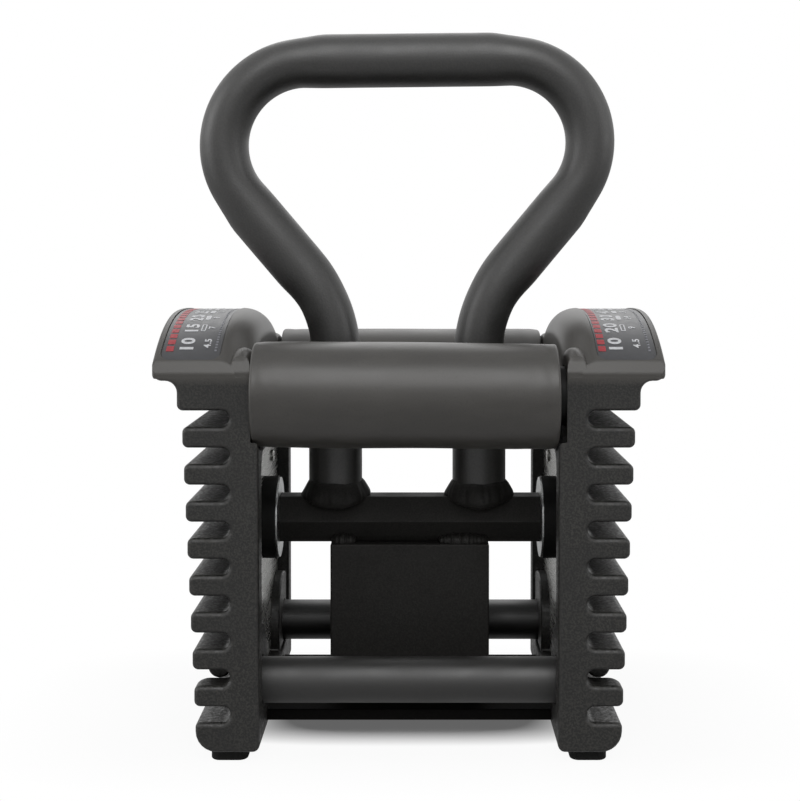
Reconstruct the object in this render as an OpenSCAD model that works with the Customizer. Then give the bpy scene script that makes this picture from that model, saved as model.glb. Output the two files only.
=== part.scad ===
// Adjustable kettlebell core: two comb-shaped end housings tied together by rods, a hexagonal
// crossbar with a bent tube handle welded on top, and a steel counterweight welded below.
// Axes: X runs along the crossbar, -Y is the front, Z is up, and the floor is Z = 0.

/* [Core] */
// Clear distance between the inner rims of the two housings
inner_gap = 128; // [122:1:140]
// Front to back depth of each housing
core_depth = 149; // [142:1:156]
// Fitting clearance between a piece and its seat
fit_gap = 0.25; // [0.1:0.05:0.5]

/* [Comb] */
// Thickness from the inner rim to the inner ends of the slots
comb_web = 12.6; // [11.5:0.1:15]
// Number of selector slots
slot_count = 9; // [7:1:9]
// Distance from one slot to the next
slot_pitch = 15.875; // [15:0.125:16]
// Height of one slot
slot_height = 6.85; // [6:0.05:9]
// Height of the roof of the top slot above the floor
slot_top = 152.1; // [151:0.1:154]
// Reach of the top fin beyond the slot ends
fin_reach_top = 20.6; // [18:0.1:22]
// Reach of the bottom block beyond the slot ends
fin_reach_bottom = 14.9; // [13:0.1:17]
// Radius of the outer corners of the fins
fin_corner = 2.6; // [1:0.1:3.2]
// Radius of the outer bottom corner of the housing
toe_radius = 9; // [4:0.5:10]
// Radius of the outer top corner of the bottom block
toe_corner = 2.2; // [1:0.1:2.3]
// Radius of the inner bottom corner of the housing
heel_radius = 3; // [1:0.5:4]
// Front to back length of each end stub of the lowest fin
stub_length = 13.5; // [10:0.5:20]
// Radius of the inner corners of the end stubs
stub_corner = 5; // [2:0.5:8]
// Distance from the slot ends to the pin stops
stop_inset = 1.7; // [1:0.1:4]
// Width of the round pin stops below the next fin up
stop_width = 10.2; // [6:0.2:12]
// Drop of the pin stops below that fin
stop_drop = 8.6; // [7:0.1:12]
// Front to back length of a pin stop
stop_length = 12; // [6:1:20]
// Gap between a pin stop and the stub in front of it
stop_gap = 4; // [2:0.5:8]

/* [Hood] */
// Height of the crown of the hood above the floor
hood_top = 193.2; // [190:0.2:196]
// Radius of the arch that the label lies on
arch_radius = 140; // [120:1:170]
// Height of the underside of the hood lip above the floor
lip_height = 164.8; // [162:0.2:167]
// Overhang of the hood lip beyond the block below it
lip_overhang = 10.5; // [8:0.5:12]
// Height of the ledge in front of and behind the hood
ledge_height = 167.3; // [166:0.1:169]
// Setback of the hood ends from the ledge
hood_inset = 1.2; // [0.5:0.1:3]
// Radius of the lower outer corner of the hood lip
lip_corner = 4; // [2:0.5:5]
// Reach of the block below the hood beyond the slot ends
shelf_reach = 22.4; // [21:0.1:24]
// Radius of the fillet below the hood lip
lip_fillet = 5; // [3:0.5:7]
// Setback of the hood from the inner rim
hood_setback = 4; // [2:0.5:6]
// Radius of the inner shoulder of the hood
shoulder_radius = 13; // [8:0.5:15]
// Steepness of the sides of the hood below its crown
hood_depth_ratio = 1.4; // [1.2:0.1:2]
// Radius of the outer edge of the hood
hood_edge = 2; // [0.5:0.5:3]

/* [Tray] */
// Depth of the inner tray from the rim to the side plate
tray_depth = 6; // [4:0.5:7]
// Width of the front and rear rims of the tray
rim_width = 12.5; // [10:0.5:14]
// Height of the tray floor edge above the floor
tray_bottom = 20; // [18:1:24]
// Height of the tray top edge above the floor
tray_top = 132; // [126:1:136]
// Radius of the tray corners
tray_corner = 8; // [4:1:12]
// Thickness of the steel side plate
plate_thickness = 2.5; // [2:0.25:3.5]
// Radius of the round bosses that hold the lower rods
boss_radius = 25; // [20:0.5:27]
// Setback of the boss faces from the inner rim
boss_setback = 1.5; // [0.5:0.5:2.5]

/* [Handle] */
// Outer diameter of the handle tube
handle_diameter = 25.4; // [22:0.2:28]
// Wall of the handle tube
handle_wall = 2.6; // [2:0.2:4]
// Height of the centreline of the top grip above the floor
grip_height = 312.1; // [300:0.5:325]
// Length of the straight top grip
grip_length = 96.6; // [80:0.2:110]
// Centreline radius of the upper bends
upper_bend = 39.8; // [34:0.1:44]
// Angle from vertical of the sloping stretches
slope_angle = 40; // [34:1:44]
// Centreline radius of the lower bends
lower_bend = 62; // [50:1:70]
// Distance between the centrelines of the two legs
leg_spacing = 68.8; // [60:0.2:76]

/* [Crossbar] */
// Width across the flats of the hexagonal crossbar
hex_flats = 21.5; // [18:0.5:24]
// Height of the crossbar centreline above the floor
hex_height = 93; // [90:0.5:98]
// Outer diameter of the crossbar collars
collar_diameter = 39; // [34:0.5:44]
// Step in radius from a collar to its bright ring
ring_step = 0.5; // [0.25:0.25:2]
// Length by which a collar stands proud of the inner rim
collar_proud = 1.2; // [0.5:0.1:3]
// Thickness of the bright ring on a collar face
ring_thickness = 0.8; // [0.5:0.1:1.5]
// Height of the weld beads on the handle legs
leg_weld_height = 7.8; // [5:0.2:10]
// Spread of the weld beads around the handle legs
leg_weld_spread = 4.2; // [3:0.2:6]
// Wall of the weld beads at their top edge
leg_weld_lip = 0.4; // [0.2:0.1:1]
// Length of the weld beads down the slopes of the crossbar
leg_weld_skirt = 4.8; // [3:0.2:6]
// Draw-in of the weld beads at their bottom edge
leg_weld_taper = 3; // [1:0.5:4]

/* [Counterweight] */
// Width of the counterweight block
weight_width = 75; // [60:1:90]
// Front to back thickness of the counterweight block
weight_thickness = 25; // [20:0.5:30]
// Length of the left weld under the crossbar
left_weld_length = 12; // [8:1:20]
// Length of the right weld under the crossbar
right_weld_length = 24; // [16:1:30]
// Height of the welds under the crossbar
weight_weld_height = 5; // [3:0.5:6]
// Setback of the welds from the faces of the block
weight_weld_setback = 0.6; // [0.2:0.2:2]

/* [Rods and pads] */
// Diameter of the lower rods
lower_rod_diameter = 20; // [16:0.5:24]
// Wall of the lower rods
lower_rod_wall = 2.5; // [1.5:0.5:4]
// Height of the lower rod centrelines above the floor
lower_rod_height = 30; // [28:0.5:33]
// Distance between the two lower rod centrelines
lower_rod_spacing = 102; // [96:1:106]
// Diameter of the upper rods inside the pads
pad_rod_diameter = 25.4; // [22:0.2:30]
// Wall of the upper rods
pad_rod_wall = 2; // [1.5:0.5:3]
// Outer diameter of the foam pads
pad_diameter = 46; // [42:0.5:50]
// Height of the pad centrelines above the floor
pad_height = 157.4; // [155:0.2:160]
// Distance between the two pad centrelines
pad_spacing = 122; // [118:1:126]
// Depth of the round pockets that the pad ends sit in
pad_seat = 3.5; // [2:0.1:5]
// Radius of the round cup behind each pad end
cup_radius = 20.9; // [18:0.1:22.5]
// Radius of the inner edge of that cup
cup_edge = 4; // [2:0.5:6]
// Length of that cup
cup_length = 12; // [8:1:16]
// Depth of rod ends behind the side plate
rod_tail = 2; // [1:0.25:2.5]

/* [Base] */
// Thickness of the base plate
base_thickness = 5; // [3:0.5:6]
// Front to back length of the base plate
base_length = 86; // [70:1:92]
// Height of the base plate above the underside of the housings
base_lift = 3.6; // [2:0.2:6]
// Depth of the housing slots that the base plate sits in
base_seat = 4; // [2:0.5:6]
// Height of the rubber feet
foot_height = 5.4; // [3:0.2:7]
// Width of a foot
foot_width = 16; // [10:1:18]
// Front to back length of a foot
foot_length = 42; // [30:1:60]
// Radius of the corners of a foot
foot_corner = 4; // [2:0.5:7]
// Distance of the feet from the front and rear of the housing
foot_inset = 6; // [3:0.5:12]

/* [Label] */
// Thickness of the label sheet
label_thickness = 0.3; // [0.2:0.05:0.5]
// Depth of the label face below the hood around it
label_sink = 0.4; // [0.2:0.05:0.6]
// Width of the label across the hood
label_width = 25.2; // [20:0.2:26]
// Distance of the label from the outer edge of the hood
label_margin = 3.1; // [2.8:0.1:4]
// Groove around the label
label_gap = 0.4; // [0.2:0.1:0.6]
// Front to back length of the label
label_length = 142; // [120:1:143]
// Radius of the label corners
label_corner = 4; // [2:0.5:6]

/* [Hidden] */
$fn = 96;

nudge = 0.01;
tube_seam = 0.001;
seam_ring = 2;
seam_ring_wall = 1;
past = 1;
rim_x = inner_gap / 2;
slot_x = rim_x + comb_web;
shelf_x = slot_x + shelf_reach;
hood_x = shelf_x + lip_overhang;
hood_inner_x = rim_x + hood_setback;
half_depth = core_depth / 2;
block_bottom = foot_height;
slot_radius = slot_height / 2;
bottom_slot_top = slot_top - slot_pitch * (slot_count - 1);
toe_top = bottom_slot_top - slot_height;
fin_height = slot_pitch - slot_height;
stub_inner_y = half_depth - stub_length;
stub_roof = bottom_slot_top + slot_pitch;
stub_x = slot_x + fin_reach_bottom + past;
stop_x = slot_x + stop_inset + stop_width / 2;
hood_length = core_depth - 2 * hood_inset;
lip_corner_x = hood_x - lip_corner;
lip_corner_z = lip_height + lip_corner;
arch_centre = hood_top - arch_radius;
plate_face_x = rim_x + tray_depth;
plate_back_x = plate_face_x + plate_thickness;
rod_end_x = plate_back_x + rod_tail;
tray_half = half_depth - rim_width;
hex_across = hex_flats / cos(30);
hex_top = hex_height + hex_flats / 2;
hex_bottom = hex_height - hex_flats / 2;
lower_rod_y = lower_rod_spacing / 2;
pad_y = pad_spacing / 2;
pocket_radius = pad_diameter / 2 + fit_gap;
pocket_x = rim_x + pad_seat;
base_bottom = block_bottom + base_lift;
weight_bottom = base_bottom + base_thickness;
label_outer_x = hood_x - label_margin;
label_inner_x = label_outer_x - label_width;
label_back = arch_radius - label_sink - label_thickness;
screw_y = 31.6;
screw_z = 118;
screw_head = 6;
screw_head_height = 1.6;
screw_shank = 3;
screw_tail = 1.5;

// Corner points of the handle centreline
bend_x = grip_length / 2;
bend_z = grip_height - upper_bend;
upper_end_x = bend_x + upper_bend * cos(slope_angle);
upper_end_z = bend_z - upper_bend * sin(slope_angle);
leg_x = leg_spacing / 2;
lower_end_x = leg_x + lower_bend * (1 - cos(slope_angle));
slope_length = (upper_end_x - lower_end_x) / sin(slope_angle);
lower_start_z = upper_end_z - slope_length * cos(slope_angle);
lower_bend_z = lower_start_z - lower_bend * sin(slope_angle);

// Outer reach of a fin whose middle is at height z
function fin_x(z) = slot_x + fin_reach_bottom
    + (fin_reach_top - fin_reach_bottom) * (z - toe_top) / (slot_top - toe_top);

// Rectangle from (x0, y0) to (x1, y1) with round corners on its outer side only
module bar_end(x0, x1, y0, y1, r) {
    translate([x0, y0]) square([x1 - r - x0, y1 - y0]);
    translate([x0, y0 + r]) square([x1 - x0, y1 - y0 - 2 * r]);
    for (y = [y0 + r, y1 - r]) translate([x1 - r, y]) circle(r);
}

// Rectangle from (x0, y0) to (x1, y1) with four round corners
module round_rect(x0, x1, y0, y1, r) {
    translate([x0 + r, y0]) square([x1 - x0 - 2 * r, y1 - y0]);
    translate([x0, y0 + r]) square([x1 - x0, y1 - y0 - 2 * r]);
    for (x = [x0 + r, x1 - r], y = [y0 + r, y1 - r]) translate([x, y]) circle(r);
}

// Extrudes an (X, Z) outline evenly to the front and the rear
module along_y(length) {
    rotate([90, 0, 0]) linear_extrude(length, center = true) children();
}

// Extrudes a (Y, Z) outline from x0 to x1
module along_x(x0, x1) {
    translate([x0, 0, 0]) rotate([90, 0, 90]) linear_extrude(x1 - x0) children();
}

// Round bar along X with its centre at height z and depth y
module bar_x(x0, x1, y, z, d) {
    translate([x0, y, z]) rotate([0, 90, 0]) cylinder(h = x1 - x0, d = d);
}

// Repeats its children on the left side
module mirrored() {
    mirror([1, 0, 0]) children();
}

// Hexagonal bar along X with flats on top and below
module hex_x(x0, x1, flats) {
    translate([x0, 0, hex_height]) rotate([0, 90, 0]) rotate([0, 0, 90])
        cylinder(h = x1 - x0, d = flats / cos(30), $fn = 6);
}

// Outline of the housing below the hood: web, fins, toe block and shelf block
module comb_outline() {
    difference() {
        union() {
            translate([rim_x, toe_top]) square([slot_x + slot_radius - rim_x, ledge_height - toe_top]);
            for (i = [1 : slot_count - 1]) {
                z = slot_top - slot_pitch * i;
                bar_end(slot_x, fin_x(z + fin_height / 2), z, z + fin_height, fin_corner);
            }
            bar_end(slot_x, shelf_x, slot_top, lip_height - lip_fillet, fin_corner);
            translate([slot_x, slot_top + fin_corner])
                square([shelf_x - slot_x, ledge_height - slot_top - fin_corner]);
            translate([shelf_x - nudge, lip_height])
                square([lip_overhang + nudge, ledge_height - lip_height]);
            toe_outline();
        }
        for (i = [0 : slot_count - 1]) {
            z = slot_top - slot_pitch * i - slot_radius;
            translate([slot_x + slot_radius, z]) circle(slot_radius);
            translate([slot_x + slot_radius, z - slot_radius])
                square([shelf_reach + past, slot_height]);
        }
    }
    difference() {
        translate([shelf_x - nudge, lip_height - lip_fillet]) square(lip_fillet + nudge);
        translate([shelf_x + lip_fillet, lip_height - lip_fillet]) circle(lip_fillet);
    }
}

// Block below the lowest slot, with its round toe and heel
module toe_outline() {
    toe_x = slot_x + fin_reach_bottom;
    difference() {
        bar_end(rim_x, toe_x, block_bottom, toe_top, toe_corner);
        translate([toe_x - toe_radius, block_bottom - past]) square([toe_radius + past, toe_radius + past]);
        translate([rim_x - past, block_bottom - past]) square(heel_radius + past);
    }
    intersection() {
        translate([toe_x - toe_radius, block_bottom + toe_radius]) circle(toe_radius);
        bar_end(rim_x, toe_x, block_bottom, toe_top, toe_corner);
    }
    translate([rim_x + heel_radius, block_bottom + heel_radius]) circle(heel_radius);
}

// Section of the hood, as (radius from the arch axis, X)
module hood_section() {
    deep = arch_radius - (hood_top - lip_height) * hood_depth_ratio;
    difference() {
        translate([deep, hood_inner_x]) square([arch_radius - deep, hood_x - hood_inner_x]);
        translate([arch_radius - shoulder_radius, hood_inner_x - past])
            square([shoulder_radius + past, shoulder_radius + past]);
        translate([arch_radius - hood_edge, hood_x - hood_edge]) square(hood_edge + past);
    }
    translate([arch_radius - shoulder_radius, hood_inner_x + shoulder_radius]) circle(shoulder_radius);
    translate([arch_radius - hood_edge, hood_x - hood_edge]) circle(hood_edge);
}

// Ring about the arch axis between two radii and two X positions
module arch_ring(r0, r1, x0, x1) {
    translate([x0, 0, arch_centre]) rotate([0, 90, 0]) difference() {
        cylinder(h = x1 - x0, r = r1);
        translate([0, 0, -past]) cylinder(h = x1 - x0 + 2 * past, r = r0);
    }
}

// Gap between the end stubs of the lowest fin
module stub_gap() {
    corner_x = fin_x(bottom_slot_top + fin_height / 2) - stub_corner;
    along_y(2 * stub_inner_y) intersection() {
        round_rect(slot_x, shelf_x + slot_x, toe_top, stub_roof, slot_radius);
        translate([slot_x, toe_top]) square([stub_x - slot_x, stub_roof - toe_top]);
    }
    for (flip = [0, 1]) mirror([0, flip, 0]) translate([corner_x, stub_inner_y, bottom_slot_top - nudge])
        linear_extrude(fin_height + 2 * nudge) difference() {
            translate([0, -past]) square([2 * stub_corner, stub_corner + past]);
            translate([0, stub_corner]) circle(stub_corner);
        }
}

// Round lugs below the last full fin, which stop a selector pin
module pin_stops() {
    stop_y = stub_inner_y - stop_gap - stop_length / 2;
    radius = stop_width / 2;
    for (side = [-1, 1]) translate([0, side * stop_y, 0]) along_y(stop_length) {
        translate([stop_x, stub_roof - stop_drop + radius]) circle(radius);
        translate([stop_x - radius, stub_roof - stop_drop + radius])
            square([stop_width, stop_drop - radius + past]);
    }
}

// Arched hood with its round inner shoulder
module hood() {
    intersection() {
        translate([0, 0, arch_centre]) rotate([0, 90, 0]) rotate_extrude() hood_section();
        translate([rim_x, -hood_length / 2, lip_height])
            cube([hood_x + past - rim_x, hood_length, hood_top - lip_height + past]);
    }
}

// Round cups behind the pad ends, which show as low bulges at the corners of the hood
module pad_cups() {
    straight = cup_radius - cup_edge;
    intersection() {
        for (side = [-1, 1]) translate([pocket_x, side * pad_y, pad_height]) rotate([0, 90, 0]) {
            cylinder(h = cup_length, r = straight);
            translate([0, 0, cup_edge]) cylinder(h = cup_length - cup_edge, r = cup_radius);
            rotate_extrude() translate([straight, cup_edge]) circle(cup_edge);
        }
        along_y(hood_length) translate([pocket_x, pad_height])
            square([cup_length, cup_radius + past]);
    }
}

// Material outside the round lower corner of the hood lip
module lip_corner_cut() {
    along_y(core_depth + 2 * past) difference() {
        translate([lip_corner_x, lip_height - past]) square([lip_corner + past, lip_corner + past]);
        translate([lip_corner_x, lip_corner_z]) circle(lip_corner);
    }
}

// Prism over the label outline, grown by the given margin
module label_prism(margin) {
    translate([0, 0, lip_height]) linear_extrude(hood_top - lip_height + past)
        round_rect(label_inner_x - margin, label_outer_x + margin,
            -label_length / 2 - margin, label_length / 2 + margin, label_corner + margin);
}

// Outline of the tray in (Y, Z), shrunk by the given margin
module tray_outline(margin) {
    round_rect(-tray_half + margin, tray_half - margin,
        tray_bottom + margin, tray_top - margin, tray_corner - margin);
}

// Tray between the rims, cut down to the back of the side plate
module tray_cut() {
    difference() {
        along_x(rim_x - past, plate_back_x) tray_outline(0);
        for (side = [-1, 1])
            bar_x(rim_x + boss_setback, plate_back_x + past, side * lower_rod_y, lower_rod_height,
                2 * boss_radius);
    }
}

// Right end housing; the left one is its mirror image
module housing() {
    color("#3a3a38") difference() {
        union() {
            along_y(core_depth) comb_outline();
            hood();
            pad_cups();
            pin_stops();
        }
        lip_corner_cut();
        intersection() {
            arch_ring(label_back, arch_radius + past, label_inner_x - past, hood_x);
            label_prism(label_gap);
        }
        tray_cut();
        difference() {
            stub_gap();
            pin_stops();
        }
        for (side = [-1, 1]) {
            bar_x(rim_x - past, pocket_x, side * pad_y, pad_height, 2 * pocket_radius);
            bar_x(rim_x, rod_end_x + fit_gap, side * pad_y, pad_height, pad_rod_diameter + 2 * fit_gap);
            bar_x(rim_x, rod_end_x + fit_gap, side * lower_rod_y, lower_rod_height,
                lower_rod_diameter + 2 * fit_gap);
        }
        hex_x(rim_x, rod_end_x + fit_gap, hex_flats + 2 * fit_gap);
        base_slot();
        side_screws(fit_gap);
    }
}

// Slot that the end of the base plate sits in
module base_slot() {
    translate([rim_x - past, -base_length / 2 - fit_gap, base_bottom - fit_gap])
        cube([base_seat + past + fit_gap, base_length + 2 * fit_gap, base_thickness + 2 * fit_gap]);
}

// Steel plate at the back of the tray, cut clear of the rod bosses
module side_plate() {
    color("#8a8a86") difference() {
        along_x(plate_face_x, plate_back_x) tray_outline(fit_gap);
        for (side = [-1, 1])
            bar_x(plate_face_x - past, plate_back_x + past, side * lower_rod_y, lower_rod_height,
                2 * boss_radius + 2 * fit_gap);
        hex_x(plate_face_x - past, plate_back_x + past, hex_flats + 2 * fit_gap);
        for (y = [-screw_y, screw_y])
            bar_x(plate_face_x - past, plate_back_x + past, y, screw_z, screw_shank + 2 * fit_gap);
    }
}

// Screws that hold one side plate, grown by the given margin
module side_screws(margin) {
    color("#b5b5b0") for (y = [-screw_y, screw_y]) {
        bar_x(plate_face_x - screw_head_height, plate_face_x, y, screw_z, screw_head);
        bar_x(plate_face_x, plate_back_x + screw_tail, y, screw_z, screw_shank + 2 * margin);
    }
}

// Label sheet that follows the arch, in its shallow recess
module label() {
    color("#2c2d30") intersection() {
        arch_ring(label_back, label_back + label_thickness, label_inner_x, label_outer_x);
        label_prism(0);
    }
}

// Front and rear rubber feet under one housing
module feet() {
    foot_x = (rim_x + slot_x + fin_reach_bottom) / 2;
    color("#161616") for (side = [-1, 1])
        translate([0, side * (half_depth - foot_length / 2 - foot_inset), 0])
            linear_extrude(foot_height) round_rect(foot_x - foot_width / 2, foot_x + foot_width / 2,
                -foot_length / 2, foot_length / 2, foot_corner);
}

// Round collar that fills the tray around the end of the crossbar
module crossbar_collar() {
    color("#111111") difference() {
        bar_x(rim_x - collar_proud, plate_face_x, 0, hex_height, collar_diameter);
        hex_x(rim_x - collar_proud - past, plate_face_x + past, hex_flats + 2 * fit_gap);
    }
}

// Bright ring on the face of a crossbar collar
module collar_ring() {
    ring_x = rim_x - collar_proud - ring_thickness;
    color("#c9c9c4") difference() {
        bar_x(ring_x, ring_x + ring_thickness, 0, hex_height, collar_diameter - 2 * ring_step);
        hex_x(ring_x - past, ring_x + ring_thickness + past, hex_flats + 2 * fit_gap);
    }
}

// Hexagonal bar that carries the handle and the counterweight
module crossbar() {
    color("#1c1c1b") hex_x(-rod_end_x, rod_end_x, hex_flats);
}

// Ring section of the handle tube
module tube_section() {
    difference() {
        circle(d = handle_diameter);
        circle(d = handle_diameter - 2 * handle_wall);
    }
}

// Straight stretch of handle tube upward from the origin
module tube(length) {
    linear_extrude(length) tube_section();
}

// Bend of handle tube about the origin in the XZ plane, swept from a given angle
module tube_bend(radius, from, sweep) {
    rotate([90, 0, 0]) rotate([0, 0, from])
        rotate_extrude(angle = sweep) translate([radius, 0]) tube_section();
}

// Ring inside the tube wall that joins two stretches of handle tube at height z
module joint_ring(z) {
    translate([0, 0, z]) linear_extrude(seam_ring, center = true) difference() {
        circle(d = handle_diameter - handle_wall + seam_ring_wall);
        circle(d = handle_diameter - handle_wall - seam_ring_wall);
    }
}

// Sloping stretch of handle tube, joined to the bends at both ends
module slope_tube() {
    translate([0, 0, tube_seam]) tube(slope_length - 2 * tube_seam);
    for (z = [0, slope_length]) joint_ring(z);
}

// Upright leg of handle tube from the crossbar to the lower bend
module leg_tube() {
    leg_length = lower_bend_z - hex_top;
    tube(leg_length - tube_seam);
    joint_ring(leg_length);
}

// Handle tube from the middle of the grip down to the right leg
module handle_half() {
    translate([0, 0, grip_height]) rotate([0, 90, 0]) tube(bend_x);
    translate([bend_x, 0, bend_z]) tube_bend(upper_bend, 90, -90 - slope_angle);
    translate([lower_end_x, 0, lower_start_z]) rotate([0, slope_angle, 0]) slope_tube();
    translate([leg_x + lower_bend, 0, lower_bend_z]) tube_bend(lower_bend, 180, -slope_angle);
    translate([leg_x, 0, hex_top]) leg_tube();
}

// Bent tube handle with a straight grip and two legs that stand on the crossbar
module handle_loop() {
    color("#4a4a4a") {
        handle_half();
        mirrored() handle_half();
    }
}

// Weld beads around the feet of the handle legs
module handle_welds() {
    radius = handle_diameter / 2;
    spread = radius + leg_weld_spread;
    skirt = leg_weld_skirt;
    color("#1f1f1e") for (side = [-1, 1]) difference() {
        translate([side * leg_x, 0, 0]) union() {
            translate([0, 0, hex_top])
                cylinder(h = leg_weld_height, r1 = spread, r2 = radius + leg_weld_lip);
            translate([0, 0, hex_top - skirt])
                cylinder(h = skirt, r1 = spread - leg_weld_taper, r2 = spread);
        }
        translate([side * leg_x, 0, hex_top]) cylinder(h = leg_weld_height + past, r = radius);
        hex_x(-leg_x - 2 * spread, leg_x + 2 * spread, hex_flats);
    }
}

// Steel block that hangs below the crossbar and stands on the base plate
module counterweight() {
    color("#232323")
        translate([-weight_width / 2, -weight_thickness / 2, weight_bottom])
            cube([weight_width, weight_thickness, hex_bottom - weight_bottom]);
}

// Weld beads in the grooves between the crossbar and the counterweight
module counterweight_welds() {
    edge = hex_across / 4;
    rise = weight_weld_height;
    foot = weight_thickness / 2 - weight_weld_setback;
    groove = [[edge, 0], [foot, 0], [edge + rise * tan(30), rise]];
    color("#1f1f1e") for (side = [-1, 1]) {
        for (span = [
            [-weight_width / 2, -weight_width / 2 + left_weld_length],
            [weight_width / 2 - right_weld_length, weight_width / 2]
        ])
            along_x(span[0], span[1])
                polygon([for (p = groove) [side * p[0], hex_bottom + p[1]]]);
    }
}

// Tube between the housings near the floor
module lower_rod() {
    color("#2b2b2b") difference() {
        bar_x(-rod_end_x, rod_end_x, 0, lower_rod_height, lower_rod_diameter);
        bar_x(-rod_end_x - past, rod_end_x + past, 0, lower_rod_height,
            lower_rod_diameter - 2 * lower_rod_wall);
    }
}

// Tube inside a foam pad
module pad_rod() {
    color("#555555") difference() {
        bar_x(-rod_end_x, rod_end_x, 0, pad_height, pad_rod_diameter);
        bar_x(-rod_end_x - past, rod_end_x + past, 0, pad_height,
            pad_rod_diameter - 2 * pad_rod_wall);
    }
}

// Foam sleeve with softly rounded ends
module pad() {
    color("#4b4a47") difference() {
        bar_x(-pocket_x, pocket_x, 0, pad_height, pad_diameter);
        bar_x(-pocket_x - past, pocket_x + past, 0, pad_height, pad_rod_diameter);
    }
}

// Steel plate that ties the housings together under the counterweight
module base_plate() {
    end_x = rim_x + base_seat;
    color("#191919") translate([-end_x, -base_length / 2, base_bottom])
        cube([2 * end_x, base_length, base_thickness]);
}

module left_housing() { mirrored() housing(); }
module right_housing() { housing(); }
module left_side_plate() { mirrored() side_plate(); }
module right_side_plate() { side_plate(); }
module left_label() { mirrored() label(); }
module right_label() { label(); }
module left_feet() { mirrored() feet(); }
module right_feet() { feet(); }
module left_crossbar_collar() { mirrored() crossbar_collar(); }
module right_crossbar_collar() { crossbar_collar(); }
module left_collar_ring() { mirrored() collar_ring(); }
module right_collar_ring() { collar_ring(); }
module front_lower_rod() { translate([0, -lower_rod_y, 0]) lower_rod(); }
module rear_lower_rod() { translate([0, lower_rod_y, 0]) lower_rod(); }
module front_pad_rod() { translate([0, -pad_y, 0]) pad_rod(); }
module rear_pad_rod() { translate([0, pad_y, 0]) pad_rod(); }
module front_pad() { translate([0, -pad_y, 0]) pad(); }
module rear_pad() { translate([0, pad_y, 0]) pad(); }
module side_plate_screws() { side_screws(0); mirrored() side_screws(0); }

left_housing();
right_housing();
left_side_plate();
right_side_plate();
left_label();
right_label();
left_feet();
right_feet();
left_crossbar_collar();
right_crossbar_collar();
left_collar_ring();
right_collar_ring();
crossbar();
handle_loop();
handle_welds();
counterweight();
counterweight_welds();
front_lower_rod();
rear_lower_rod();
front_pad_rod();
rear_pad_rod();
front_pad();
rear_pad();
base_plate();
side_plate_screws();
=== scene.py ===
import logging
import math
from dataclasses import dataclass, field
from enum import Enum

import bmesh
import bpy
import numpy as np
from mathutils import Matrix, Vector


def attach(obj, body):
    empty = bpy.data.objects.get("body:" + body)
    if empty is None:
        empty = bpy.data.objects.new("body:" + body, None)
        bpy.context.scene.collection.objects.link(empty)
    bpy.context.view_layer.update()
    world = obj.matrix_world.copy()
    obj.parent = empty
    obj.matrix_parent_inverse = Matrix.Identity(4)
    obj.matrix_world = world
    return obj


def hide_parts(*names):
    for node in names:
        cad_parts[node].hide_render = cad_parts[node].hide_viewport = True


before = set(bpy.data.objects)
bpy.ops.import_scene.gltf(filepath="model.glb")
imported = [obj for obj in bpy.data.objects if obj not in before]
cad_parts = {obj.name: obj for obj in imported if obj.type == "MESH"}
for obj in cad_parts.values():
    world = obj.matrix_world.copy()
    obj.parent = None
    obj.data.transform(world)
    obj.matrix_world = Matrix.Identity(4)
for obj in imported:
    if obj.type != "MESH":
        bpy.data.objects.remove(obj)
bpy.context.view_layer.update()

MM = 0.001
LEAST_RADIUS = 0.004
log = logging.getLogger("kettlebell")


# ---------------------------------------------------------------- arrays and meshes


@dataclass
class Shell:
    """Closed surface held as an array of points in millimetres and a list of faces."""

    points: np.ndarray
    faces: list[tuple[int, ...]]

    def joined(self, *others: "Shell") -> "Shell":
        """Put other shells beside this one in one mesh.

        Args:
            others: the shells to add.

        Returns:
            A shell that holds them all.
        """
        points, faces = [self.points], list(self.faces)
        count = len(self.points)
        for other in others:
            faces += [tuple(index + count for index in face) for face in other.faces]
            points.append(other.points)
            count += len(other.points)
        return Shell(np.concatenate(points), faces)

    def mirrored(self, axis: int = 0) -> "Shell":
        """Mirror the shell across a plane through the origin and turn its faces back.

        Args:
            axis: 0, 1 or 2, the coordinate that changes its sign.

        Returns:
            The mirror image.
        """
        sign = np.ones(3)
        sign[axis] = -1
        return Shell(self.points * sign, [face[::-1] for face in self.faces])


def grid_faces(rows: int, columns: int, wrap: bool = True, closed: bool = False) -> list[tuple[int, ...]]:
    """List the four-sided faces of a grid whose points run row by row.

    Args:
        rows: number of rows.
        columns: number of points in a row.
        wrap: whether the last column joins the first.
        closed: whether the last row joins the first.

    Returns:
        One tuple of four indices for each cell.
    """
    i = np.arange(rows if closed else rows - 1)[:, None]
    j = np.arange(columns if wrap else columns - 1)[None, :]
    i_next, j_next = (i + 1) % rows, (j + 1) % columns
    quads = np.stack([i * columns + j, i * columns + j_next,
                      i_next * columns + j_next, i_next * columns + j], axis=-1)
    return [tuple(quad) for quad in quads.reshape(-1, 4).tolist()]


def loft(rings: np.ndarray) -> Shell:
    """Join closed rings of points one to the next and cap both ends with one face each.

    Args:
        rings: array of shape (rings, points, 3).

    Returns:
        The closed shell.
    """
    rows, columns, _ = rings.shape
    faces = grid_faces(rows, columns)
    faces.append(tuple(range(columns))[::-1])
    faces.append(tuple(range((rows - 1) * columns, rows * columns)))
    return Shell(rings.reshape(-1, 3), faces)


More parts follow.
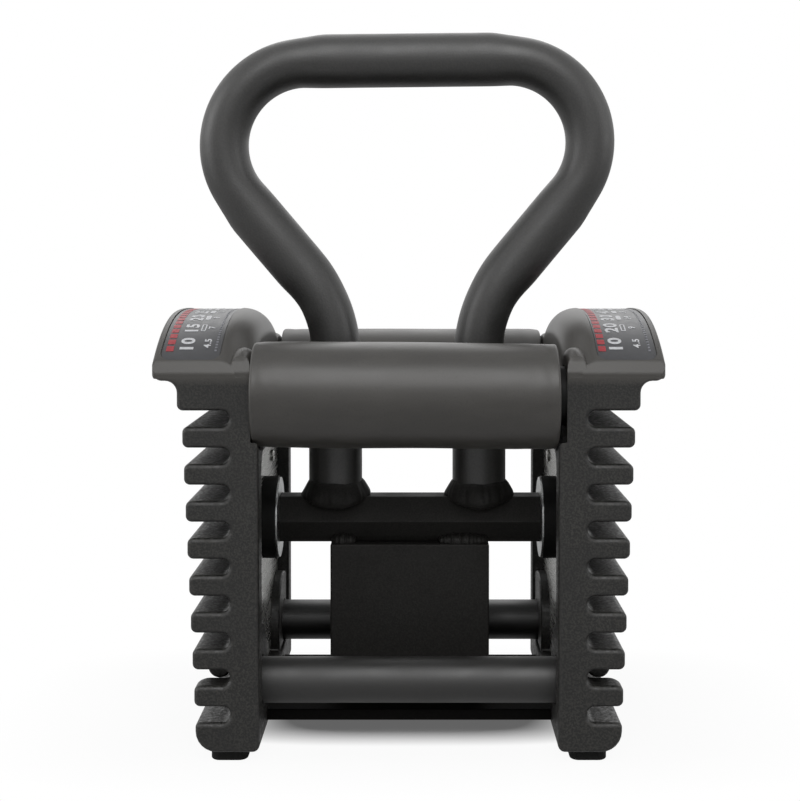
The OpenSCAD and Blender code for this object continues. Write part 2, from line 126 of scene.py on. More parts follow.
def rounded_path(corners: np.ndarray, radii: np.ndarray, steps: int = 6) -> np.ndarray:
    """Round the corners of closed outlines with tangent arcs.

    At a corner the path turns by an angle t. The arc starts r tan(|t|/2) before the corner, and each of
    its points is the start turned about the arc's centre by a share of t. Where two arcs need more room
    than their side has, both shrink.

    Args:
        corners: corner points, shape (outlines, corners, 2).
        radii: arc radii, shape (outlines, corners).
        steps: number of chords in each arc.

    Returns:
        Points, shape (outlines, corners * (steps + 1), 2).
    """
    before = corners - np.roll(corners, 1, axis=1)
    length = np.linalg.norm(before, axis=-1, keepdims=True)
    before = before / length
    after = np.roll(before, -1, axis=1)
    cross = before[..., 0] * after[..., 1] - before[..., 1] * after[..., 0]
    turn = np.arctan2(cross, np.sum(before * after, axis=-1))
    reach = radii * np.tan(np.abs(turn) / 2)
    room = length[..., 0] / (reach + np.roll(reach, 1, axis=1) + 1e-9)
    share = np.minimum(1, 0.998 * np.minimum(room, np.roll(room, -1, axis=1)))
    radii, reach = radii * share, reach * share
    start = corners - before * reach[..., None]
    side = np.stack([-before[..., 1], before[..., 0]], axis=-1) * np.sign(turn)[..., None]
    centre = start + side * radii[..., None]
    angle = turn[..., None] * np.linspace(0, 1, steps + 1)
    arm = (start - centre)[:, :, None, :]
    x = arm[..., 0] * np.cos(angle) - arm[..., 1] * np.sin(angle)
    y = arm[..., 0] * np.sin(angle) + arm[..., 1] * np.cos(angle)
    points = centre[:, :, None, :] + np.stack([x, y], axis=-1)
    return points.reshape(corners.shape[0], -1, 2)


def inset_corners(corners: np.ndarray, radii: np.ndarray, inset: np.ndarray,
                  shares: np.ndarray | None = None) -> tuple[np.ndarray, np.ndarray]:
    """Move every side of outlines inwards by a distance, keeping their corners matched.

    A corner between sides that move by d1 and d2 along their inward normals n1 and n2, with c = n1.n2,
    moves by ((d1 - c d2) n1 + (d2 - c d1) n2) / (1 - c^2). An outer corner's radius falls by the mean of
    d1 and d2, and an inner corner's grows by it.

    Args:
        corners: corner points that run anticlockwise, shape (outlines, corners, 2).
        radii: arc radii, shape (outlines, corners).
        inset: distance for each outline, shape (outlines,).
        shares: part of the distance that each side takes, the side before each corner; all 1 if left out.

    Returns:
        The moved corners and their radii.
    """
    before = corners - np.roll(corners, 1, axis=1)
    before = before / np.linalg.norm(before, axis=-1, keepdims=True)
    normal = np.stack([-before[..., 1], before[..., 0]], axis=-1)
    following = np.roll(normal, -1, axis=1)
    first = inset[:, None] * (np.ones(corners.shape[1]) if shares is None else shares)[None]
    second = np.roll(first, -1, axis=1)
    cosine = np.sum(normal * following, axis=-1)
    along = ((first - cosine * second) / (1 - cosine ** 2))[..., None] * normal
    across = ((second - cosine * first) / (1 - cosine ** 2))[..., None] * following
    after = np.roll(before, -1, axis=1)
    outer = before[..., 0] * after[..., 1] - before[..., 1] * after[..., 0] > 0
    distance = (first + second) / 2
    moved_radii = np.where(outer, np.maximum(radii - distance, LEAST_RADIUS), radii + distance)
    return corners + along + across, moved_radii


def edge_round(radius: float, steps: int = 4) -> tuple[np.ndarray, np.ndarray]:
    """Work out the stations of a quarter-round edge.

    Args:
        radius: radius of the edge.
        steps: number of chords in the quarter.

    Returns:
        Depths below the end face, r (1 - sin t), and the insets there, r (1 - cos t), from face to side.
    """
    angle = np.linspace(math.pi / 2, 0, steps + 1)
    return radius * (1 - np.sin(angle)), radius * (1 - np.cos(angle))


def rounded_slab(corners: list[tuple[float, float]], radii: list[float], axis: int, low: float, high: float,
                 edge: float, steps: int = 6, shares: list[float] | None = None) -> Shell:
    """Carry a rounded outline straight along an axis, with quarter-round edges at both ends.

    Args:
        corners: anticlockwise corners in the plane of the other two axes, in their cyclic order.
        radii: one radius for each corner.
        axis: 0, 1 or 2 for X, Y or Z.
        low: position of one end face.
        high: position of the other end face.
        edge: radius of the end edges.
        steps: number of chords in each corner arc.
        shares: part of the edge radius that each side takes, the side before each corner.

    Returns:
        The closed shell.
    """
    depth, inset = edge_round(edge, 5)
    stations = np.concatenate([low + depth, (high - depth)[::-1]])
    insets = np.concatenate([inset, inset[::-1]])
    count = len(stations)
    base = np.repeat(np.array(corners, float)[None], count, axis=0)
    sizes = np.repeat(np.array(radii, float)[None], count, axis=0)
    parts = None if shares is None else np.array(shares, float)
    outline = rounded_path(*inset_corners(base, sizes, insets, parts), steps)
    rings = np.empty(outline.shape[:2] + (3,))
    rings[..., axis] = stations[:, None]
    rings[..., (axis + 1) % 3] = outline[..., 0]
    rings[..., (axis + 2) % 3] = outline[..., 1]
    return loft(rings)


def rectangle(a0: float, a1: float, b0: float, b1: float) -> list[tuple[float, float]]:
    """List the anticlockwise corners of a rectangle."""
    return [(a0, b0), (a1, b0), (a1, b1), (a0, b1)]


def hexagon_corners(radius: float, z: float) -> list[tuple[float, float]]:
    """List the corners of a hexagon in (Y, Z) about the height z, the first one level with it."""
    return [(radius * math.cos(math.pi / 3 * k), z + radius * math.sin(math.pi / 3 * k)) for k in range(6)]


def lathe(profile: np.ndarray, y: float, z: float, steps: int = 96, closed: bool = False) -> Shell:
    """Turn a profile about an axis parallel to X.

    Each profile point (x, r) becomes the circle (x, y + r cos a, z + r sin a).

    Args:
        profile: points (x, radius), shape (points, 2).
        y: depth of the axis.
        z: height of the axis.
        steps: number of points round the axis.
        closed: whether the profile is a closed loop; otherwise its ends are capped.

    Returns:
        The closed shell.
    """
    angle = np.linspace(0, 2 * math.pi, steps, endpoint=False)
    x = np.repeat(profile[:, 0:1], steps, axis=1)
    rings = np.stack([x, y + profile[:, 1:2] * np.cos(angle), z + profile[:, 1:2] * np.sin(angle)], axis=-1)
    if closed:
        return Shell(rings.reshape(-1, 3), grid_faces(len(profile), steps, closed=True))
    return loft(rings)


def loop_profile(low: float, high: float, inner: float, outer: float, edge: float) -> np.ndarray:
    """Outline a ring's section as (x, radius) with rounded corners of one radius."""
    corners = np.array([rectangle(low, high, inner, outer)], float)
    return rounded_path(corners, np.full((1, 4), edge), 5)[0]


def smooth_step(t: np.ndarray) -> np.ndarray:
    """Turn a share t, kept within 0 and 1, into 3 t^2 - 2 t^3."""
    t = np.clip(t, 0, 1)
    return t ** 2 * (3 - 2 * t)


def ripple(a: np.ndarray, b: np.ndarray, waves: tuple[tuple[float, float, float], ...]) -> np.ndarray:
    """Add up sine waves over two parameters, as a smooth uneven height between about -1 and 1.

    Args:
        a: first parameter.
        b: second parameter.
        waves: for each wave its rate along a, its rate along b and its phase.

    Returns:
        The heights.
    """
    total = sum(np.sin(rate_a * a + rate_b * b + phase) for rate_a, rate_b, phase in waves)
    return total / len(waves)


def make_object(name: str, shell: Shell, merge: float = 0.0) -> bpy.types.Object:
    """Put a shell into a Blender object at the origin, in metres, with faces outwards.

    Args:
        name: name of the object.
        shell: its surface in millimetres.
        merge: distance in millimetres below which points become one.

    Returns:
        The object.
    """
    mesh = bpy.data.meshes.new(name)
    mesh.from_pydata((shell.points * MM).tolist(), [], shell.faces)
    work = bmesh.new()
    work.from_mesh(mesh)
    if merge:
        bmesh.ops.remove_doubles(work, verts=work.verts, dist=merge * MM)
    bmesh.ops.recalc_face_normals(work, faces=work.faces)
    work.to_mesh(mesh)
    work.free()
    piece = bpy.data.objects.new(name, mesh)
    bpy.context.scene.collection.objects.link(piece)
    return piece


def read_mesh(piece: bpy.types.Object) -> Shell:
    """Read an object's mesh back.

    Args:
        piece: the object.

    Returns:
        Its surface as a shell in millimetres.
    """
    mesh = piece.data
    points = np.empty(len(mesh.vertices) * 3)
    mesh.vertices.foreach_get("co", points)
    return Shell(points.reshape(-1, 3) / MM, [tuple(face.vertices) for face in mesh.polygons])


def carve(body: bpy.types.Object, tools: list[tuple[str, Shell]]) -> None:
    """Join shells to a body or cut them out of it, one after the other, and keep the result.

    Args:
        body: the object that changes.
        tools: for each step "UNION" or "DIFFERENCE" and the shell.
    """
    cutters = []
    for index, (operation, shell) in enumerate(tools):
        cutter = make_object(f"cutter_{index}", shell)
        cutters.append(cutter)
        modifier = body.modifiers.new(f"step_{index}", "BOOLEAN")
        modifier.operation = operation
        modifier.solver = "EXACT"
        modifier.object = cutter
    depsgraph = bpy.context.evaluated_depsgraph_get()
    result = bpy.data.meshes.new_from_object(body.evaluated_get(depsgraph))
    body.modifiers.clear()
    old, body.data = body.data, result
    bpy.data.meshes.remove(old)
    for cutter in cutters:
        mesh = cutter.data
        bpy.data.objects.remove(cutter)
        bpy.data.meshes.remove(mesh)


def finish_piece(piece: bpy.types.Object, material: bpy.types.Material,
                 replaced: tuple[str, ...] = (), sharp: float = 32.0) -> bpy.types.Object:
    """Smooth a piece, give it its material, and hang it under the root body.

    Args:
        piece: the object.
        material: its material.
        replaced: names of the CAD nodes that it stands for.
        sharp: angle in degrees above which an edge stays sharp.

    Returns:
        The same object.
    """
    mesh = piece.data
    mesh.materials.clear()
    mesh.materials.append(material)
    mesh.polygons.foreach_set("use_smooth", [True] * len(mesh.polygons))
    mesh.set_sharp_from_angle(angle=math.radians(sharp))
    weighted = piece.modifiers.new("even_normals", "WEIGHTED_NORMAL")
    weighted.keep_sharp = True
    weighted.weight = 60
    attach(piece, "root")
    if replaced:
        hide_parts(*replaced)
    log.info("%s: %d faces, stands for %s", piece.name, len(mesh.polygons), ", ".join(replaced) or "trim")
    return piece


# ---------------------------------------------------------------- finishes


def linear(hex_colour: str) -> tuple[float, float, float, float]:
    """Turn an sRGB colour into a linear one.

    Args:
        hex_colour: the colour as a hash sign and six hex digits.

    Returns:
        Red, green, blue and alpha, each from 0 to 1.
    """
    values = [int(hex_colour[i:i + 2], 16) / 255 for i in (1, 3, 5)]
    curve = [v / 12.92 if v <= 0.04045 else ((v + 0.055) / 1.055) ** 2.4 for v in values]
    return (curve[0], curve[1], curve[2], 1.0)


def add_node(tree: bpy.types.NodeTree, kind: str, inputs: dict | None = None,
             **settings: object) -> bpy.types.Node:
    """Add a node, set its properties and fill its sockets.

    Args:
        tree: the node tree.
        kind: the node's type name.
        inputs: for each socket name or index a value or an output socket to link.
        settings: properties of the node itself.

    Returns:
        The node.
    """
    node = tree.nodes.new(kind)
    for name, value in settings.items():
        setattr(node, name, value)
    for key, value in (inputs or {}).items():
        if isinstance(value, bpy.types.NodeSocket):
            tree.links.new(value, node.inputs[key])
        else:
            node.inputs[key].default_value = value
    return node


def new_material(name: str) -> tuple[bpy.types.Material, bpy.types.NodeTree, bpy.types.Node]:
    """Start an empty node material.

    Args:
        name: name of the material.

    Returns:
        The material, its tree and its output node.
    """
    material = bpy.data.materials.new(name)
    material.use_nodes = True
    tree = material.node_tree
    tree.nodes.clear()
    return material, tree, add_node(tree, "ShaderNodeOutputMaterial")


def grain(tree: bpy.types.NodeTree, size_mm: float, detail: float = 2.0,
          stretch: tuple[float, float, float] = (1, 1, 1)) -> bpy.types.NodeSocket:
    """Make fine noise fixed to the object, from the size of one grain.

    Args:
        tree: the node tree.
        size_mm: width of a grain in millimetres.
        detail: number of finer layers.
        stretch: scale along each axis, below 1 for long grains.

    Returns:
        The noise factor, between 0 and 1.
    """
    place = add_node(tree, "ShaderNodeTexCoord")
    mapping = add_node(tree, "ShaderNodeMapping", {"Vector": place.outputs["Object"], "Scale": stretch})
    noise = add_node(tree, "ShaderNodeTexNoise", {
        "Vector": mapping.outputs["Vector"], "Scale": 1 / (size_mm * MM), "Detail": detail,
        "Roughness": 0.55})
    return noise.outputs["Fac"]


def ramp(tree: bpy.types.NodeTree, factor: bpy.types.NodeSocket, low: float, high: float,
         low_to: float = 0.0, high_to: float = 1.0) -> bpy.types.NodeSocket:
    """Map a factor's range from low..high to low_to..high_to, clamped."""
    node = add_node(tree, "ShaderNodeMapRange", {"Value": factor, "From Min": low, "From Max": high,
                                                 "To Min": low_to, "To Max": high_to})
    return node.outputs["Result"]


def blend_colours(tree: bpy.types.NodeTree, factor: bpy.types.NodeSocket, first: str | bpy.types.NodeSocket,
                  second: str | bpy.types.NodeSocket) -> bpy.types.NodeSocket:
    """Mix two colours by a factor.

    Args:
        tree: the node tree.
        factor: 0 for the first colour, 1 for the second.
        first: a hex colour or an output socket.
        second: a hex colour or an output socket.

    Returns:
        The mixed colour.
    """
    node = add_node(tree, "ShaderNodeMix", data_type="RGBA")
    tree.links.new(factor, node.inputs["Factor"])
    for index, colour in ((6, first), (7, second)):
        if isinstance(colour, str):
            node.inputs[index].default_value = linear(colour)
        else:
            tree.links.new(colour, node.inputs[index])
    return node.outputs[2]


class Finish:
    """Surface of one kind of piece. Each kind fills the sockets of one shader in its own way."""

    name: str

    def sockets(self, tree: bpy.types.NodeTree) -> dict:
        """Add the pattern nodes, and give the shader's values and links by socket name."""
        raise NotImplementedError

    def material(self) -> bpy.types.Material:
        """Build the node material.

        Returns:
            The material.
        """
        material, tree, output = new_material(self.name)
        shader = add_node(tree, "ShaderNodeBsdfPrincipled", self.sockets(tree))
        tree.links.new(shader.outputs[0], output.inputs[0])
        return material


@dataclass(frozen=True)
class MouldedUrethane(Finish):
    """Black polyurethane moulded in a spark-eroded tool: a fine even grain that scatters light softly.

    Above the ledge the hoods are painted a little paler, as a painted highlight on the housing's top and the
    lip's edge, and hands rub them smoother than the rest. The real grain is about 0.2 mm wide. It is drawn at
    0.9 mm, with a coarser mottling, so that it shows.
    """

    name: str = "moulded_urethane"
    colour: str = "#272624"
    pale: str = "#302f2c"
    speck: str = "#0c0c0b"
    # Paler tone painted on the hood tops and lip edge: a painted highlight, not wear.
    painted_crown_highlight: str = "#43413e"
    roughness: tuple[float, float] = (0.3, 0.66)
    gloss: float = 0.5
    grain_mm: float = 0.9
    grain_height_mm: float = 0.2
    grain_strength: float = 0.5
    mottle_mm: float = 1.7
    cloud_mm: float = 24.0
    # Heights over which the painted highlight and the smoother skin fade in.
    crown_z: tuple[float, float] = (0.1628, 0.1662)
    crown_roughness: float = 0.4
    crown_smoothing: float = 0.33
    ior: float = 1.49

    def sockets(self, tree: bpy.types.NodeTree) -> dict:
        """Add the pattern nodes.

        Args:
            tree: the material's node tree.

        Returns:
            The shader's values and links.
        """
        fine = grain(tree, self.grain_mm, 3.0)
        cloud = grain(tree, self.cloud_mm, 2.0)
        base = blend_colours(tree, ramp(tree, cloud, 0.35, 0.65), self.colour, self.pale)
        speckled = blend_colours(tree, ramp(tree, fine, 0.44, 0.6, 0.9, 0.0), base, self.speck)
        mottle = grain(tree, self.mottle_mm, 3.0)
        place = add_node(tree, "ShaderNodeTexCoord")
        height = add_node(tree, "ShaderNodeSeparateXYZ", {0: place.outputs["Object"]})
        crown = ramp(tree, height.outputs["Z"], *self.crown_z)
        # Painted highlight: above the ledge the colour turns paler where the top of the housing catches the
        # light.
        painted_crown_highlight = blend_colours(tree, crown, speckled, self.painted_crown_highlight)
        depth = add_node(tree, "ShaderNodeMath", {0: crown, 1: -self.crown_smoothing, 2: self.grain_strength},
                         operation="MULTIPLY_ADD")
        bump = add_node(tree, "ShaderNodeBump", {
            "Height": fine, "Strength": depth.outputs[0], "Distance": self.grain_height_mm * MM})
        skin = add_node(tree, "ShaderNodeMath", {0: fine, 1: mottle}, operation="ADD")
        smooth = ramp(tree, skin.outputs[0], 0.75, 1.25, *self.roughness)
        polish = add_node(tree, "ShaderNodeMix", {0: crown, 2: smooth, 3: self.crown_roughness},
                          data_type="FLOAT")
        return {
            "Base Color": painted_crown_highlight, "Roughness": polish.outputs[0],
            "IOR": self.ior, "Specular IOR Level": self.gloss, "Normal": bump.outputs["Normal"]}


@dataclass(frozen=True)
class PowderCoat(Finish):
    """Black powder coat baked on steel: a fine pebbled skin with a low sheen.

    Real pebbles are 0.3 to 0.5 mm wide. They are drawn about twice as wide so that they show.
    """

    name: str
    colour: str
    pale: str
    roughness: tuple[float, float]
    pebble_mm: float
    height_mm: float
    gloss: float
    cloud_mm: float = 18.0

    def sockets(self, tree: bpy.types.NodeTree) -> dict:
        """Add the pattern nodes.

        Args:
            tree: the material's node tree.

        Returns:
            The shader's values and links.
        """
        pebble = grain(tree, self.pebble_mm, 2.5)
        cloud = grain(tree, self.cloud_mm, 2.0)
        base = blend_colours(tree, ramp(tree, pebble, 0.38, 0.66), self.colour, self.pale)
        bump = add_node(tree, "ShaderNodeBump", {
            "Height": pebble, "Strength": 0.6, "Distance": self.height_mm * MM})
        return {
            "Base Color": base, "Roughness": ramp(tree, cloud, 0.35, 0.65, *self.roughness),
            "IOR": 1.5, "Specular IOR Level": self.gloss, "Normal": bump.outputs["Normal"]}


@dataclass(frozen=True)
class ClosedCellFoam(Finish):
    """Nitrile foam sleeve: closed-cell rubber whose smooth skin is slightly dusty and full of tiny pits.

    Real cells are about 0.3 mm wide. They are drawn at 0.8 mm so that they show.
    """

    name: str = "nitrile_foam"
    colour: str = "#3a3835"
    pale: str = "#403e3b"
    pit: str = "#32302e"
    cell_mm: float = 0.8
    cell_height_mm: float = 0.1
    scuff_mm: float = 7.0
    scuff_stretch: float = 0.35
    roughness: tuple[float, float] = (0.36, 0.44)
    ior: float = 1.45
    gloss: float = 0.68
    sheen: float = 0.05
    dust: str = "#c9c8c4"

    def sockets(self, tree: bpy.types.NodeTree) -> dict:
        """Add the pattern nodes.

        Args:
            tree: the material's node tree.

        Returns:
            The shader's values and links.
        """
        cells = grain(tree, self.cell_mm, 2.0)
        scuffs = grain(tree, self.scuff_mm, 3.0, stretch=(self.scuff_stretch, 1, 1))
        base = blend_colours(tree, ramp(tree, scuffs, 0.4, 0.68), self.colour, self.pale)
        pitted = blend_colours(tree, ramp(tree, cells, 0.3, 0.46, 0.6, 0.0), base, self.pit)
        bump = add_node(tree, "ShaderNodeBump", {
            "Height": cells, "Strength": 0.2, "Distance": self.cell_height_mm * MM})
        return {
            "Base Color": pitted, "Roughness": ramp(tree, scuffs, 0.3, 0.7, *self.roughness), "IOR": self.ior,
            "Specular IOR Level": self.gloss, "Sheen Weight": self.sheen, "Sheen Roughness": 0.5,
            "Sheen Tint": linear(self.dust), "Normal": bump.outputs["Normal"]}


@dataclass(frozen=True)
class PaintedPlate(Finish):
    """Cold-rolled sheet under a thin glossy enamel: faint rolling lines and broad, soft reflections.

    Real rolling lines are about 0.3 mm apart. They are drawn 1.6 mm apart so that they show.
    """

    name: str = "enamelled_plate"
    colour: str = "#b4b4b0"
    pale: str = "#c2c2be"
    metallic: float = 0.6
    roughness: tuple[float, float] = (0.22, 0.34)
    line_mm: float = 1.6
    line_stretch: float = 0.06
    line_height_mm: float = 0.04
    cloud_mm: float = 30.0

    def sockets(self, tree: bpy.types.NodeTree) -> dict:
        """Add the pattern nodes.

        Args:
            tree: the material's node tree.

        Returns:
            The shader's values and links.
        """
        lines = grain(tree, self.line_mm, 2.0, stretch=(1, self.line_stretch, 1))
        cloud = grain(tree, self.cloud_mm, 2.0)
        base = blend_colours(tree, ramp(tree, cloud, 0.35, 0.65), self.colour, self.pale)
        bump = add_node(tree, "ShaderNodeBump", {
            "Height": lines, "Strength": 0.2, "Distance": self.line_height_mm * MM})
        return {
            "Base Color": base, "Roughness": ramp(tree, lines, 0.3, 0.7, *self.roughness),
            "Metallic": self.metallic, "Normal": bump.outputs["Normal"]}


@dataclass(frozen=True)
class ZincPlate(Finish):
    """Bright zinc plating on a turned face: a fine grain and a silvery, slightly blue shine.

    The real grain is finer than 0.1 mm. It is drawn at 0.6 mm so that it shows.
    """

    name: str = "zinc_plate"
    colour: str = "#c4c6c6"
    dull: str = "#9a9c9b"
    metallic: float = 1.0
    roughness: tuple[float, float] = (0.24, 0.42)
    fine_mm: float = 0.6
    fine_height_mm: float = 0.05
    cloud_mm: float = 5.0

    def sockets(self, tree: bpy.types.NodeTree) -> dict:
        """Add the pattern nodes.

        Args:
            tree: the material's node tree.

        Returns:
            The shader's values and links.
        """
        fine = grain(tree, self.fine_mm, 2.0)
        cloud = grain(tree, self.cloud_mm, 2.0)
        base = blend_colours(tree, ramp(tree, cloud, 0.35, 0.7), self.colour, self.dull)
        bump = add_node(tree, "ShaderNodeBump", {
            "Height": fine, "Strength": 0.2, "Distance": self.fine_height_mm * MM})
        return {
            "Base Color": base, "Metallic": self.metallic,
            "Roughness": ramp(tree, fine, 0.3, 0.7, *self.roughness), "Normal": bump.outputs["Normal"]}


@dataclass(frozen=True)
class PlainCoat(Finish):
    """Thin even layer, such as ink or moulded rubber, with a little mottling in tone and gloss."""

    name: str
    colour: str
    shade: str
    roughness: tuple[float, float]
    spot_mm: float
    height_mm: float
    gloss: float = 0.5

    def sockets(self, tree: bpy.types.NodeTree) -> dict:
        """Add the pattern nodes.

        Args:
            tree: the material's node tree.

        Returns:
            The shader's values and links.
        """
        spots = grain(tree, self.spot_mm, 2.0)
        base = blend_colours(tree, ramp(tree, spots, 0.35, 0.7), self.colour, self.shade)
        bump = add_node(tree, "ShaderNodeBump", {
            "Height": spots, "Strength": 0.3, "Distance": self.height_mm * MM})
        return {
            "Base Color": base, "Roughness": ramp(tree, spots, 0.3, 0.7, *self.roughness), "IOR": 1.5,
            "Specular IOR Level": self.gloss, "Normal": bump.outputs["Normal"]}


@dataclass(frozen=True)
class Finishes:
    """All the materials of the kettlebell, each made once."""

    moulding: bpy.types.Material = field(default_factory=MouldedUrethane().material)
    # The hand grips a rougher powder coat, which breaks its highlight up.
    handle: bpy.types.Material = field(default_factory=PowderCoat(
        "pebbled_powder_coat", "#232322", "#2e2d2c", (0.38, 0.48), 0.9, 0.12, 0.68).material)
    # Satin powder coat is smoother, so the rods show long soft highlights.
    rod: bpy.types.Material = field(default_factory=PowderCoat(
        "satin_powder_coat", "#1a1a19", "#201f1e", (0.42, 0.52), 0.7, 0.05, 0.68).material)
    # Matt powder coat on the welded core stays nearly black.
    core: bpy.types.Material = field(default_factory=PowderCoat(
        "matt_powder_coat", "#1f1e1d", "#292826", (0.5, 0.62), 0.8, 0.08, 0.24).material)
    foam: bpy.types.Material = field(default_factory=ClosedCellFoam().material)
    plate: bpy.types.Material = field(default_factory=PaintedPlate().material)
    zinc: bpy.types.Material = field(default_factory=ZincPlate().material)
    # Phosphated steel collars are a flat deep black.
    collar: bpy.types.Material = field(default_factory=PlainCoat(
        "black_phosphate", "#0c0c0c", "#141413", (0.45, 0.6), 0.6, 0.03, 0.15).material)
    # The base plate is the same steel, rougher and just as dark.
    base: bpy.types.Material = field(default_factory=PlainCoat(
        "black_oxide_plate", "#0d0c0b", "#141312", (0.72, 0.82), 0.8, 0.03, 0.08).material)
    # Moulded rubber is matt, and picks up dust in its skin.
    rubber: bpy.types.Material = field(default_factory=PlainCoat(
        "moulded_rubber", "#121211", "#1b1b1a", (0.7, 0.85), 0.9, 0.06, 0.25).material)
    # Vinyl sheet has an even satin face that turns pale where it catches the light.
    sheet: bpy.types.Material = field(default_factory=PlainCoat(
        "vinyl_sheet", "#35363a", "#3c3d41", (0.32, 0.4), 3.0, 0.01).material)
    # Screen-printed inks lie thin on the vinyl and are a little duller than it.
    white_ink: bpy.types.Material = field(default_factory=PlainCoat(
        "white_ink", "#f2f3f6", "#dfe0e4", (0.4, 0.5), 1.2, 0.01).material)
    red_ink: bpy.types.Material = field(default_factory=PlainCoat(
        "red_ink", "#b8323d", "#a82c36", (0.4, 0.5), 1.2, 0.01).material)
    grey_ink: bpy.types.Material = field(default_factory=PlainCoat(
        "grey_ink", "#8e8f96", "#808188", (0.4, 0.5), 1.2, 0.01).material)


# ---------------------------------------------------------------- sub-assemblies


class Side(Enum):
    """End of the crossbar that a piece belongs to."""

    LEFT = "left"
    RIGHT = "right"

    def place(self, shell: Shell) -> Shell:
        """Return a shell drawn for the right side at this side."""
        return shell.mirrored() if self is Side.LEFT else shell


@dataclass(frozen=True)
class Arch:
    """Curve that the top of each hood follows, the same all along X.

    It is nearly flat at its crown and steep at its ends.
    """

    crown: float = 193.2
    rate: float = 2.38e-4
    power: float = 2.65

    def height(self, y: np.ndarray, below: float | np.ndarray = 0.0) -> np.ndarray:
        """Height at depth y, a distance d below the arch: crown - k |y|^p - d sqrt(1 + slope^2)."""
        return self.crown - self.rate * np.abs(y) ** self.power - below * self.stretch(y)

    def stretch(self, y: np.ndarray) -> np.ndarray:
        """Vertical length of one millimetre square to the arch at depth y."""
        return np.sqrt(1 + (self.rate * self.power * np.abs(y) ** (self.power - 1)) ** 2)


@dataclass(frozen=True)
class HoodEnd:
    """Steep straight slope at each end of the hood, rounded over into the upright front of the housing."""

    start_y: float = 71.9
    start_z: float = 173.35
    slope: float = 2.0
    radius: float = 4.2
    front_y: float = 74.46
    inner_stations: tuple[float, ...] = (71.2, 70.0)
    free_height: float = 1000.0

    def stations(self) -> np.ndarray:
        """List depths from the front inwards, close together on the rounded edge and the slope.

        Returns:
            The depths.
        """
        tilt = math.atan(1 / self.slope)
        turn = np.linspace(math.pi / 2, math.pi / 2 - tilt, 5)
        arc = self.front_y - self.radius + self.radius * np.sin(turn)
        return np.concatenate([arc, np.linspace(arc[-1], self.start_y, 5)[1:], self.inner_stations])

    def limit(self, y: np.ndarray) -> np.ndarray:
        """Greatest height at depth y.

        It is the slope's line, and in front of the tangent point the circle of the given radius that
        touches both the line and the upright front.

        Args:
            y: depths, on either side of the middle.

        Returns:
            The heights; inwards of the slope, one that limits nothing.
        """
        depth = np.abs(y)
        centre_y = self.front_y - self.radius
        line = self.start_z - self.slope * (depth - self.start_y)
        centre_z = (self.start_z - self.slope * (centre_y - self.start_y)
                    - self.radius * math.hypot(1, self.slope))
        touch = centre_y + self.radius * self.slope / math.hypot(1, self.slope)
        circle = centre_z + np.sqrt(np.clip(self.radius ** 2 - (depth - centre_y) ** 2, 0, None))
        return np.where(depth < self.start_y, self.free_height, np.where(depth < touch, line, circle))


